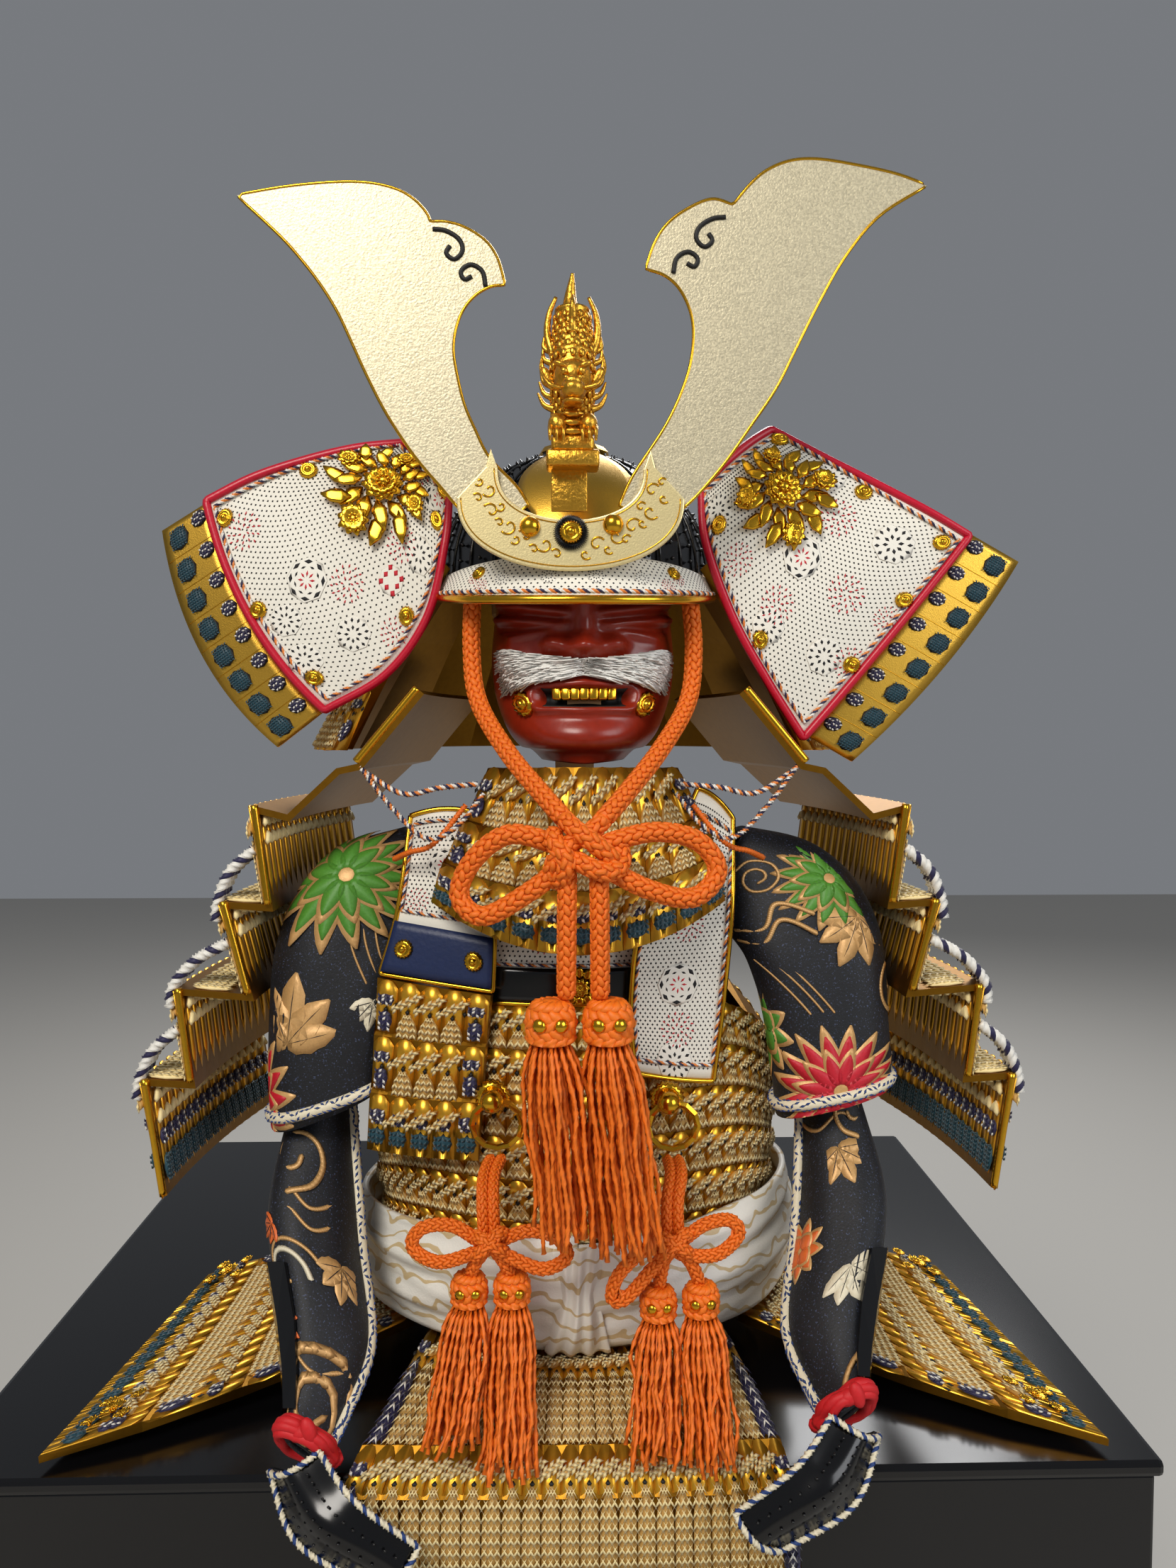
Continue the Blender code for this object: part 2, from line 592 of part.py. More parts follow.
Tassel = namedtuple("Tassel", "x y top head_radius head_high tip_x tip_y tip_z flare deep")
TASSELS = {
    "tassel_left": Tassel(-8.3, -95.0, 142.2, 7.9, 12.5, -3.0, -97.0, 72.0, 1.12, 1.35),
    "tassel_right": Tassel(8.5, -95.0, 142.2, 7.9, 12.5, 15.5, -97.0, 68.0, 1.12, 1.35),
    "side_tassel_left_outer": Tassel(-33.2, -85.0, 56.5, 6.0, 9.5, -37.5, -103.0, 13.0, 1.24, 0.9),
    "side_tassel_left_inner": Tassel(-20.2, -85.0, 56.5, 6.0, 9.5, -20.5, -104.8, 6.0, 1.24, 0.9),
    "side_tassel_right_inner": Tassel(24.2, -86.0, 52.0, 6.0, 9.5, 21.5, -103.0, 8.8, 1.20, 0.9),
    "side_tassel_right_outer": Tassel(37.2, -86.0, 53.0, 6.0, 9.5, 38.5, -105.0, 6.0, 1.20, 0.9),
}
TASSEL_SLOTS = 9


def tassel(name, t):
    """Braided head, and strands grown from its under side in two rings."""
    points, faces = [], []
    profile = [(0.32, 0.0), (0.80, 0.18), (1.0, 0.5), (0.92, 0.8), (1.0, 1.0)]
    n = TASSEL_SLOTS

    def put(radius, turn, z):
        return Vector((t.x + radius * math.cos(turn), t.y + radius * math.sin(turn), z))
    for share, down in profile:
        for k in range(n):
            points.append(put(t.head_radius * share, math.tau * k / n, t.top - t.head_high * down))
    grid_faces(faces, 0, n, len(profile), True)
    faces.append(tuple(range(n)))
    root = t.top - t.head_high
    disc = [(len(profile) - 1) * n + k for k in range(n)]
    for share in (0.60, 0.22):
        ring = []
        for k in range(n):
            ring.append(len(points))
            points.append(put(t.head_radius * share, math.tau * k / n, root))
        for k in range(n):
            quad = (disc[k], disc[(k + 1) % n], ring[(k + 1) % n], ring[k])
            strand(points, faces, t, quad, root, k, share > 0.5)
        disc = ring
    faces.append(tuple(disc))
    return solid(name, points, faces, ORANGE_CORD)


def strand(points, faces, t, quad, root, index, outer):
    """One lock, four-sided, from a slot in the head's under side to its own tip."""
    corners = [points[i] for i in quad]
    middle = sum(corners, Vector()) / 4
    axis = Vector((t.x, t.y, root))
    uneven = 1.0 - 0.035 * ((index * 7 + (3 if outer else 0)) % 5) / 4
    levels = [(0.0, 0.86, 1.0)]
    if outer:
        levels.append((0.45, 0.74, 1.0 + (t.flare - 1) * 0.6))
    levels.append((uneven, 0.66, t.flare))
    rings = []
    for share, size, flare in levels:
        centre = axis.lerp(Vector((t.tip_x, t.tip_y, t.tip_z)), share)
        away = (middle - axis) * flare
        away.y *= 1.0 + (t.deep - 1.0) * min(1.0, share * 1.6)
        ring = []
        for corner in corners:
            side = (corner - middle) * size * flare
            side.y *= 1.0 + (t.deep - 1.0) * min(1.0, share * 1.6)
            ring.append(len(points))
            points.append(centre + away + side)
        rings.append(ring)
    for k in range(4):
        m = (k + 1) % 4
        faces.append((quad[k], quad[m], rings[0][m], rings[0][k]))
        for above, below in zip(rings, rings[1:]):
            faces.append((above[k], above[m], below[m], below[k]))
    faces.append(tuple(rings[-1]))


def cuirass_surface(u, v):
    """Flattened barrel, u once round from the front, lower under the arms."""
    turn = math.tau * u - math.pi / 2
    top = CUIRASS_HIGH - ARMHOLE_DROP * math.cos(turn) ** 6
    z = top + (CUIRASS_LOW - top) * v
    waist = 1.0 - 0.07 * math.exp(-((z - 34) / 24) ** 2) - 0.05 * max(0.0, (z - 100) / 31) ** 2
    return Vector((CUIRASS_X * waist * math.cos(turn), CUIRASS_Y * waist * math.sin(turn), z))


def cuirass():
    wall("cuirass", cuirass_surface, spread(36), row_lines(CUIRASS_ROWS, 1.0, None, 0.0), 2.4,
         lambda p: Vector((p.x, p.y, 0)), GOLD_LAMES, (12, 2), closed=True)
    for name, side in (("chest_plate", -1), ("back_plate", 1)):
        rim = CUIRASS_Y - 2.2
        sections = []
        for half, ends, middle, low, high in ((34, rim - 9.5, rim - 1.0, 158, 160),
                                              (39, rim - 8.5, rim, 145, 145),
                                              (43, rim - 9.0, rim, 131.5, 131.5)):
            sections.append(Section((-half, side * ends, low), (0, side * middle, high),
                                    (half, side * ends, low)))
        wall(name, patch(sections), across(8), [(v, 0.0) for v in spread(2)], 2.2, (0, side, 0),
             PRINTED_LEATHER, (6, 2))


def shoulder_straps():
    for side, name in ((-1, "left"), (1, "right")):
        keys = [(-46.0, 160.6), (-41.5, 172.0), (-27.0, 180.5), (0.0, 182.2), (27.0, 180.5),
                (41.5, 172.0), (46.0, 160.6)]
        points, faces = [], []
        line = [spline([Vector((0, y, z)) for y, z in keys], t) for t in spread(14)]
        for i, p in enumerate(line):
            ahead = (line[min(i + 1, 14)] - line[max(i - 1, 0)]).normalized()
            up = Vector((0, -ahead.z, ahead.y))
            for x, lift in ((29, 1.7), (43, 1.7), (43, -1.7), (29, -1.7)):
                points.append(Vector((side * (x - 1.0 * (i not in (0, 14))), p.y, p.z)) + up * lift)
        grid_faces(faces, 0, 4, len(line), True)
        faces += [(0, 1, 2, 3), tuple(4 * 14 + k for k in range(4))]
        solid("shoulder_strap_" + name, points, faces, PRINTED_LEATHER)


SENDAN_CAP = [
    Section((-55.5, -39.0, 191.5), (-42.5, -40.5, 194.0), (-30.5, -41.5, 191.5)),
    Section((-57.0, -45.5, 174.0), (-42.0, -49.5, 174.0), (-27.0, -52.0, 172.5)),
    Section((-59.5, -49.0, 157.5), (-43.5, -54.0, 155.5), (-26.5, -58.0, 153.0)),
    Section((-64.5, -50.0, 140.5), (-46.0, -55.0, 138.5), (-27.0, -59.5, 136.5)),
]
SENDAN_LAMES = [
    Section((-65.0, -50.0, 139.4), (-46.5, -55.0, 137.4), (-27.5, -59.5, 135.4)),
    Section((-67.0, -50.0, 111.0), (-49.0, -55.0, 110.0), (-30.0, -59.5, 110.0)),
    Section((-69.5, -50.0, 82.0), (-51.5, -55.0, 81.0), (-32.0, -59.0, 81.0)),
]
KYUBI = [
    Section((41.2, -38.0, 200.5), (47.0, -39.0, 197.5), (53.0, -39.0, 190.5)),
    Section((22.0, -58.5, 163.0), (36.0, -55.5, 163.0), (51.0, -51.5, 163.0)),
    Section((17.3, -60.5, 135.0), (32.5, -57.0, 134.0), (48.5, -51.5, 133.0)),
    Section((18.5, -60.5, 110.0), (31.5, -57.5, 107.0), (45.0, -52.0, 104.5)),
]


def breast_guards():
    wall("right_breast_cap", patch(SENDAN_CAP), across(6),
         [(0.0, 0.0), (0.35, 0.0), (0.66, 0.0), (0.70, 0.9), (0.98, 0.9), (1.0, 0.0)], 2.2,
         (0, -1, 0), PRINTED_LEATHER, (4, 3))
    wall("right_breast_lames", patch(SENDAN_LAMES), across(12), row_lines(3, 1.0, None, -0.2), 2.0,
         (0, -1, 0), GOLD_LAMES, (4, 3), ribs=lambda u, v: 0.35 if round((u + 1) * 6) % 2 else 0.0)
    wall("left_breast_board", patch(KYUBI), across(4), [(v, 0.0) for v in spread(4)], 2.6,
         (0, -1, 0), PRINTED_LEATHER, (2, 2))


RINGS = {"left": (-25.6, -65.6, 95.2), "right": (30.5, -64.9, 94.0)}
SideCord = namedtuple("SideCord", "side down knot loop_out loop_in ends")
SIDE_CORDS = [
    SideCord("left",
             [(-25.8, -66.4, 84.9), (-27.5, -76.0, 83.0), (-27.5, -84.0, 78.0), (-26.8, -86.0, 68.5)],
             (-26.7, -87.0, 66.5),
             [(-30.0, -87.0, 67.5), (-38.0, -88.0, 72.5), (-47.0, -87.0, 71.5),
              (-50.0, -86.5, 65.5), (-42.0, -88.0, 61.5), (-31.0, -88.5, 64.5)],
             [(-23.5, -87.0, 67.5), (-15.0, -88.5, 71.0), (-6.5, -88.0, 68.5),
              (-3.5, -87.5, 62.5), (-11.0, -89.0, 59.5), (-22.0, -89.0, 64.0)],
             [(-31.0, -86.0, 57.0), (-22.5, -86.0, 57.0)]),
    SideCord("right",
             [(30.6, -64.8, 83.1), (30.5, -76.0, 82.5), (28.5, -84.5, 77.0), (28.5, -86.0, 67.0)],
             (28.6, -87.0, 65.5),
             [(32.0, -87.0, 67.5), (38.0, -88.0, 72.0), (45.5, -87.0, 73.0),
              (48.5, -86.5, 68.5), (42.0, -88.0, 63.0), (33.0, -88.5, 63.0)],
             [(25.3, -87.0, 66.5), (18.0, -88.5, 63.5), (11.5, -88.5, 56.5),
              (10.0, -88.0, 49.5), (14.5, -89.0, 50.5), (24.0, -89.0, 61.5)],
             [(27.0, -86.5, 52.5), (35.5, -86.5, 53.5)]),
]


def side_cords():
    for name, centre in RINGS.items():
        x, y, z = centre
        stud = ball("ring_" + name, (x - 1.5, y + 3.4, z + 8.0), (3.6, 6.0, 3.6), GOLD, 8, 5)
        joined("ring_" + name, [stud, hoop("hoop_" + name, centre, 8.0, 1.1, -0.12, GOLD, 12, 5)])
    for c in SIDE_CORDS:
        knot = ball("side_cord_" + c.side, c.knot, (5.0, 4.6, 5.4), ORANGE_CORD, 8, 5)
        parts = [knot, cord("fall_" + c.side, c.down, 5, THIN_CORD, ORANGE_CORD, 5),
                 cord("loop_out_" + c.side, c.loop_out, 8, THIN_CORD, ORANGE_CORD, 5),
                 cord("loop_in_" + c.side, c.loop_in, 8, THIN_CORD, ORANGE_CORD, 5)]
        for i, end in enumerate(c.ends):
            below = Vector(c.knot) + Vector(((i - 0.5) * 3.4, 0, -2.0))
            parts.append(cord("end_%s_%d" % (c.side, i), [below, (below + Vector(end)) / 2, end], 3,
                              THIN_CORD * 0.8, ORANGE_CORD, 5))
        joined("side_cord_" + c.side, parts)


def sash_surface(u, v):
    """Folded silk band round the waist, u once round from the front, bulged and uneven."""
    turn = math.tau * u - math.pi / 2
    low = 20.0 + 3.0 * math.sin(turn * 1.0 + 2.0) * math.cos(turn)
    high = 58.0 + 4.0 * math.cos(turn) - 3.0 * math.exp(-((turn + math.pi / 2) / 0.5) ** 2)
    z = high + (low - high) * v
    full = 4.6 + 3.2 * math.sin(math.pi * v)
    x, y = CUIRASS_X + 1.2 + full, CUIRASS_Y + full
    return Vector((x * math.cos(turn), y * math.sin(turn), z))


def sash_folds(u, v):
    """Slanting soft folds, drawn in towards the crossing at the front."""
    turn = math.tau * u - math.pi / 2
    fold = 1.1 * math.sin(5.0 * v * math.pi + 2.4 * math.cos(turn * 2 + 0.4) + 3 * math.sin(turn * 3))
    near = math.exp(-(min(u, 1 - u) / 0.05) ** 2)
    return fold * (0.5 + 0.5 * math.sin(math.pi * v)) + 2.6 * near * math.sin(math.pi * v)


def sash():
    wall("sash", sash_surface, spread(30), [(v, 0.0) for v in spread(6)], 4.0,
         lambda p: Vector((p.x, p.y, 0)), WHITE_SILK, (16, 2), closed=True, ribs=sash_folds)


SKIRT_FRONT = [
    Section((-50, -41.0, 15.4), (0, -58.0, 16.1), (50, -41.0, 15.4)),
    Section((-59, -80.0, 12.0), (0, -84.0, 12.5), (57, -80.0, 12.0)),
    Section((-69, -101.5, 0.0), (0, -103.0, 0.0), (63, -101.5, 0.0)),
    Section((-71, -102.5, -26.0), (0, -104.0, -26.0), (65, -102.5, -26.0)),
    Section((-72, -102.5, -54.0), (0, -104.0, -54.0), (67, -102.5, -54.0)),
    Section((-73, -102.5, -82.0), (0, -104.0, -82.0), (69, -102.5, -82.0)),
    Section((-74, -102.5, -110.0), (0, -104.0, -110.0), (71, -102.5, -110.0)),
]
SKIRT_SIDE = [
    Section((-56.0, 33.0, 15.2), (-69.8, 0.0, 15.4), (-56.5, -33.0, 15.2)),
    Section((-86, 34.0, 13.0), (-94.0, -8.0, 10.8), (-91.0, -50.0, 8.5)),
    Section((-116, 22.0, 13.0), (-120.0, -23.0, 9.0), (-126.0, -73.0, 6.5)),
    Section((-140, 10.0, 12.0), (-151.0, -40.0, 7.5), (-161.0, -90.5, 4.5)),
]
SKIRT_BACK = [
    Section((50, 41.5, 15.6), (0, 57.5, 16.0), (-50, 41.5, 15.6)),
    Section((56, 82.0, 10.5), (0, 88.0, 11.5), (-56, 82.0, 10.5)),
    Section((60, 128.0, 6.5), (0, 131.0, 8.5), (-60, 128.0, 6.5)),
    Section((64, 172.0, 4.0), (0, 176.0, 5.5), (-64, 172.0, 4.0)),
]


def skirts():
    def ribs(u, v):
        return 0.4 if round((u + 1) * SKIRT_LAMES) % 2 else 0.0
    wall("skirt_front", patch(SKIRT_FRONT), across(SKIRT_LAMES * 2),
         row_lines(SKIRT_ROWS, 1.1, 0.5), PLATE, (0, -1, 0.4), GOLD_LAMES, (6, 8), ribs=ribs)
    for name, sections in (("skirt_left", SKIRT_SIDE), ("skirt_right", mirrored(SKIRT_SIDE, 0.6)),
                           ("skirt_back", SKIRT_BACK)):
        wall(name, patch(sections), across(SKIRT_LAMES), row_lines(SKIRT_ROWS, 1.1, None), PLATE,
             (0, 0, 1), GOLD_LAMES, (6, 4))


SODE = [Step(52.0, 233.5), Step(72.0, 209.5), Step(79.0, 208.0), Step(95.0, 193.0),
        Step(106.5, 196.0), Step(102.5, 163.5), Step(117.0, 164.5), Step(109.4, 134.0),
        Step(132.0, 136.0), Step(128.5, 105.0), Step(143.5, 106.0), Step(138.0, 67.0)]
SODE_FRONT, SODE_BACK, SODE_TOE = -50.0, 48.0, 0.12


def offset_line(line, thick):
    """The same polyline moved inwards by thick, with mitred corners, in the (out, z) plane."""
    made = []
    for i, p in enumerate(line):
        normals = []
        for a, b in ((i - 1, i), (i, i + 1)):
            if a >= 0 and b < len(line):
                d = Vector((line[b][0] - line[a][0], line[b][1] - line[a][1])).normalized()
                normals.append(Vector((-d.y, d.x)))
        n = sum(normals, Vector((0.0, 0.0))).normalized()
        made.append(Vector((p[0], p[1])) - n * (thick / max(0.5, n.dot(normals[0]))))
    return made


def sode_point(out, z, y, side, shift):
    toe = SODE_TOE * (y - SODE_FRONT)
    bow = 3.0 * (1 - ((y - SODE_FRONT) / (SODE_BACK - SODE_FRONT) * 2 - 1) ** 2)
    return (side * (out - toe + bow) + shift, y, z)


def sode_wall(name, line, thick, side, shift, material, columns, y_front, y_back):
    """Stepped plate: one polyline in section, run from the front edge to the back edge."""
    outer = [(s.out, s.z) for s in line]
    inner = offset_line(outer, thick)
    loop = outer + [tuple(p) for p in reversed(inner)]
    points, faces = [], []
    for j in range(columns + 1):
        y = y_front + (y_back - y_front) * j / columns
        for out, z in loop:
            points.append(sode_point(out, z, y, side, shift))
    count = len(loop)
    grid_faces(faces, 0, count, columns + 1, True)
    half = len(outer)
    for j, start in ((0, 0), (1, columns * count)):
        for i in range(half - 1):
            faces.append((start + i, start + i + 1, start + count - 2 - i, start + count - 1 - i))
    return solid(name, points, faces, material)


def sode():
    for side, name, shift in ((-1, "left", 0.8), (1, "right", 3.0)):
        sode_wall("sode_" + name, SODE, PLATE, side, shift, GOLD_LAMES, 8, SODE_FRONT, SODE_BACK)


SLEEVE = [
    Ring(-51.6, -3.0, 176.0, 10.5, 27.0, -50.0, 0.0),
    Ring(-67.0, -8.0, 165.0, 17.5, 32.5, -36.0, 0.06),
    Ring(-80.5, -13.0, 147.0, 18.5, 34.0, -14.0, 0.14),
    Ring(-86.2, -16.5, 121.0, 17.0, 34.0, 0.0, 0.18),
    Ring(-88.0, -18.0, 93.0, 16.2, 33.5, 22.0, 0.18),
]
RIGHT_HEM = Ring(-88.0, -18.0, 94.0, 16.2, 33.5, -14.0, 0.18)
FOREARM = [
    Ring(-87.0, -22.0, 106.0, 8.5, 14.0, -4.0, 0.0),
    Ring(-89.0, -28.0, 82.0, 12.0, 15.0, -10.0, 0.0),
    Ring(-87.5, -47.0, 54.0, 16.5, 18.5, -18.0, 0.0),
    Ring(-80.0, -69.0, 31.0, 15.5, 15.5, -22.0, 0.0),
    Ring(-79.5, -88.0, 17.0, 9.5, 9.5, -30.0, 0.0),
    Ring(-81.0, -100.0, 10.5, 6.5, 6.5, -34.0, 0.0),
]


def ring_tube(rings, side, shift, squareness, narrow=0.0, pitch_share=0.0, end=(0.0, 0.0)):
    """Surface through tilted rings: u once round, v along the sleeve.

    side is 1 on the left and -1 on the right. A ring's tilt raises its inner edge, its lean and
    narrow carry its back outwards and pinch it, pitch_share tips it square to a forward arm, and
    end moves the wrist by (x, z).
    """
    keys = [Vector((r.x, r.y, r.z)) for r in rings]
    sizes = [Vector((r.half_x, r.half_y, r.lean)) for r in rings]
    tilts = [r.tilt for r in rings]

    def surface(u, v):
        c, s = math.cos(math.tau * u), math.sin(math.tau * u)
        centre, size = spline(keys, v), spline(sizes, v)
        tilt = math.radians(spline(tilts, v))
        radius = (abs(c) ** squareness + abs(s) ** squareness) ** (-1.0 / squareness)
        wide, deep = size.x * c * radius * (1 - narrow * s * radius), size.y * s * radius
        ahead = (spline(keys, min(v + 0.02, 1)) - spline(keys, max(v - 0.02, 0))).normalized()
        pitch = math.atan2(-ahead.y, -ahead.z) * pitch_share
        x = centre.x + wide * math.cos(tilt) - size.z * deep
        z = centre.z + wide * math.sin(tilt) - deep * math.sin(pitch) + end[1] * v ** 2
        return Vector((side * x + shift * min(1.0, 3 * v) + end[0] * v ** 2,
                       centre.y + deep * math.cos(pitch), z))
    return surface


def sleeve_folds(seed, deep):
    def ribs(u, v):
        a = math.tau * u
        fold = 0.55 * math.sin(3 * a + seed + 4 * v) + 0.45 * math.sin(5 * a - 7 * v + seed * 2)
        return deep * fold * math.sin(math.pi * min(v * 1.15, 1.0)) ** 0.5
    return ribs


def away_from(surface, v_steps=24):
    """Outward side of a tube: away from the nearest point of its centre line."""
    line = []
    for v in spread(v_steps):
        ring = [surface(k / 8, v) for k in range(8)]
        line.append(sum(ring, Vector()) / 8)
    return lambda point: point - min(line, key=lambda c: (c - point).length)


HAND_GUARD = [
    Section((-90.4, -99.9, 5.3), (-84.0, -106.5, 8.9), (-75.0, -104.2, 13.8)),
    Section((-80.0, -112.0, -8.0), (-71.0, -118.0, -1.0), (-63.0, -114.5, 5.5)),
    Section((-58.5, -114.0, -20.0), (-50.5, -118.0, -15.0), (-45.0, -115.0, -8.0)),
]


def sleeves():
    for side, name, shift, arm_shift, end in ((1, "left", 0.0, 0.6, (0.0, 0.0)),
                                              (-1, "right", 4.0, 1.8, (-4.2, 9.0))):
        rings = SLEEVE if side > 0 else SLEEVE[:-1] + [RIGHT_HEM]
        upper = ring_tube(rings, side, shift, 2.6, narrow=0.7)
        wall("sleeve_" + name, upper, spread(18), [(v, 0.0) for v in spread(6)], CLOTH,
             away_from(upper), BROCADE, (9, 3), closed=True,
             ribs=sleeve_folds(0.6 if side > 0 else 2.0, 0.8))
        lower = ring_tube(FOREARM, side, arm_shift, 2.1, pitch_share=0.8, end=end)
        out, folds = away_from(lower), sleeve_folds(1.2, 0.6)
        wall("forearm_" + name, lower, spread(12), [(v, 0.0) for v in spread(8)], 1.6, out,
             BROCADE, (8, 4), closed=True, ribs=folds)
        wall("forearm_splint_" + name, lower, [i / 12 for i in range(5, 9)],
             [(i / 8, 2.0) for i in range(4, 8)], -0.6, out, BLACK_LACQUER, (3, 3), ribs=folds)
        wall("wrist_tie_" + name, lower, spread(10),
             [(0.915, 1.6), (0.93, 3.2), (0.97, 3.2), (0.985, 1.6)], -1.0, out, RED_LACQUER,
             (10, 1), closed=True)
        guard = HAND_GUARD if side > 0 else mirrored(HAND_GUARD, -1.9, 8.1)
        wall("hand_guard_" + name, patch(guard), across(6), [(v, 0.0) for v in spread(5)], 1.5,
             (0, -1, 0.3), BLACK_LACQUER, (3, 3))


def main():
    chest()
    stand()
    helmet()
    visor()
    horns()
    crest()
    neck_guard()
    wings()
    face_mask()
    throat_guard()
    chin_bow()
    for name, sizes in TASSELS.items():
        tassel(name, sizes)
    cuirass()
    shoulder_straps()
    breast_guards()
    side_cords()
    sash()
    skirts()
    sode()
    sleeves()


clear_scene()
ARMOUR = collection("samurai_armour")
CUTTERS = collection("joined_pieces")
BLACK_LACQUER = paint("black lacquer", (0.006, 0.006, 0.008), 0.0, 0.18)
RED_LACQUER = paint("red-brown lacquer", (0.16, 0.012, 0.01), 0.0, 0.3)
GOLD = paint("gilt metal", (0.83, 0.56, 0.16), 1.0, 0.3)
FROSTED_GOLD = paint("frosted gilt", (0.80, 0.68, 0.42), 1.0, 0.5)
GOLD_LAMES = paint("gilt lames", (0.78, 0.50, 0.12), 0.9, 0.4)
PRINTED_LEATHER = paint("printed leather", (0.72, 0.70, 0.62), 0.0, 0.6)
WHITE_HAIR = paint("white hair", (0.85, 0.84, 0.80), 0.0, 0.7)
ORANGE_CORD = paint("orange silk braid", (0.75, 0.13, 0.01), 0.0, 0.6)
WHITE_SILK = paint("white silk brocade", (0.80, 0.78, 0.72), 0.0, 0.45)
BROCADE = paint("navy brocade", (0.02, 0.03, 0.06), 0.0, 0.6)
BARE_WOOD = paint("pale wood", (0.45, 0.28, 0.13), 0.0, 0.6)
main()
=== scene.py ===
"""Looks of the display samurai armour: lacing, braids, leather, brocade, lacquer and gilt.

Tables are in millimetres, with heights taken from the top of the chest's lid.
"""

import math

import bmesh
import bpy
import numpy as np
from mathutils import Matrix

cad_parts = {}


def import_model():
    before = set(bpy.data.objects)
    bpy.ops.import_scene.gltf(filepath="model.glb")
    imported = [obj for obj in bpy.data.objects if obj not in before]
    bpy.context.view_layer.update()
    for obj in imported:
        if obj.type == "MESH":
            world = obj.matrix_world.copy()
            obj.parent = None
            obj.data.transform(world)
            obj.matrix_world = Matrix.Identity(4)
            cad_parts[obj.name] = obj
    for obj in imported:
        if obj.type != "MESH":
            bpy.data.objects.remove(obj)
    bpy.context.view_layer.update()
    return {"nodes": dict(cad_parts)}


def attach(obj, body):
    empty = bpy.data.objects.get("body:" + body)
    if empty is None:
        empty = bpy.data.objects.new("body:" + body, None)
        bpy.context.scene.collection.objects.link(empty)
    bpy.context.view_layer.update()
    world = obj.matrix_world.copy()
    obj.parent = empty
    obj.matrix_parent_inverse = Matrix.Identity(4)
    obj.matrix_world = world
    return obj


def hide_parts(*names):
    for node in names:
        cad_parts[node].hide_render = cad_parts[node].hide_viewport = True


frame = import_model()

# Camera. The photo is taken close and from just above the armour's middle, square to its front.
lens = bpy.data.cameras.new("camera")
lens.lens, lens.sensor_width = 27.05, 36.0
camera = bpy.data.objects.new("camera", lens)
camera.location = (-0.0063, -0.435, 0.502)
camera.rotation_euler = (math.radians(90 - 2.859), 0.0, math.radians(-1.498))
bpy.context.scene.collection.objects.link(camera)
bpy.context.scene.camera = camera


# Chin cords. Round braids of orange silk that hold the helmet: they leave its rim at both temples,
# pass the mask and meet in the bow's knot.
MM, LID_TOP = 0.001, 280.0


def colour(code):
    """Linear colour of an sRGB hex code."""
    parts = [int(code[i:i + 2], 16) / 255 for i in (0, 2, 4)]
    return tuple(c / 12.92 if c <= 0.04045 else ((c + 0.055) / 1.055) ** 2.4 for c in parts) + (1.0,)


def node(paint, kind, inputs=(), **settings):
    """A new shader node; inputs are values, or other nodes' outputs to link."""
    made = paint.node_tree.nodes.new("ShaderNode" + kind)
    for key, value in settings.items():
        setattr(made, key, value)
    for key, value in dict(inputs).items():
        if isinstance(value, bpy.types.NodeSocket):
            paint.node_tree.links.new(value, made.inputs[key])
        else:
            made.inputs[key].default_value = value
    return made


def material(name, code, metallic=0.0, roughness=0.5, mottle=0.0, fine=0.0, size=900.0, sheen=0.0):
    """Principled material; mottle varies its tone, and fine is a bump depth in millimetres."""
    made = bpy.data.materials.new(name)
    made.use_nodes = True
    shader = made.node_tree.nodes["Principled BSDF"]
    shader.inputs["Base Color"].default_value = colour(code)
    shader.inputs["Metallic"].default_value = metallic
    shader.inputs["Roughness"].default_value = roughness
    shader.inputs["Sheen Weight"].default_value = sheen
    spot = node(made, "TexCoord").outputs["Object"]
    noise = node(made, "TexNoise", {"Vector": spot, "Scale": size, "Detail": 4.0})
    if mottle:
        dark = tuple(c * (1 - mottle) for c in colour(code)[:3]) + (1.0,)
        light = tuple(min(1.0, c * (1 + mottle)) for c in colour(code)[:3]) + (1.0,)
        mix = node(made, "Mix", {"Factor": noise.outputs["Fac"], "A": dark, "B": light}, data_type="RGBA")
        made.node_tree.links.new(mix.outputs["Result"], shader.inputs["Base Color"])
    if fine:
        bump = node(made, "Bump", {"Height": noise.outputs["Fac"], "Distance": fine * MM, "Strength": 1.0})
        made.node_tree.links.new(bump.outputs["Normal"], shader.inputs["Normal"])
    return made


def spline(keys, t):
    """Points at t, 0 to 1, on a smooth curve through evenly spaced keys."""
    keys = np.asarray(keys, float)
    s = np.clip(t, 0, 1) * (len(keys) - 1)
    i = np.minimum(s.astype(int), len(keys) - 2)
    f = (s - i)[..., None]
    keys = np.concatenate([[2 * keys[0] - keys[1]], keys, [2 * keys[-1] - keys[-2]]])
    a, b, c, d = (keys[i + k] for k in range(4))
    return 0.5 * (2 * b + (c - a) * f + (2 * a - 5 * b + 4 * c - d) * f ** 2
                  + (3 * b - a - 3 * c + d) * f ** 3)


def even(keys, steps):
    """Evenly spaced points of the smooth curve through the keys."""
    line = spline(keys, np.linspace(0, 1, 400))
    run = np.concatenate([[0], np.cumsum(np.linalg.norm(np.diff(line, axis=0), axis=1))])
    want = np.linspace(0, run[-1], steps + 1)
    return np.stack([np.interp(want, run, line[:, k]) for k in range(3)], 1), run[-1]


def unit(vectors):
    """Vectors at length one."""
    return vectors / np.maximum(np.linalg.norm(vectors, axis=-1, keepdims=True), 1e-9)


def frames(line):
    """Sideways and upward directions that follow a line without twisting."""
    ahead = unit(np.gradient(line, axis=0))
    side = np.zeros_like(line)
    start = np.cross(ahead[0], (0, 1, 0.02))
    for i, a in enumerate(ahead):
        start = unit(start - a * start.dot(a))
        side[i] = start
    return side, np.cross(ahead, side)


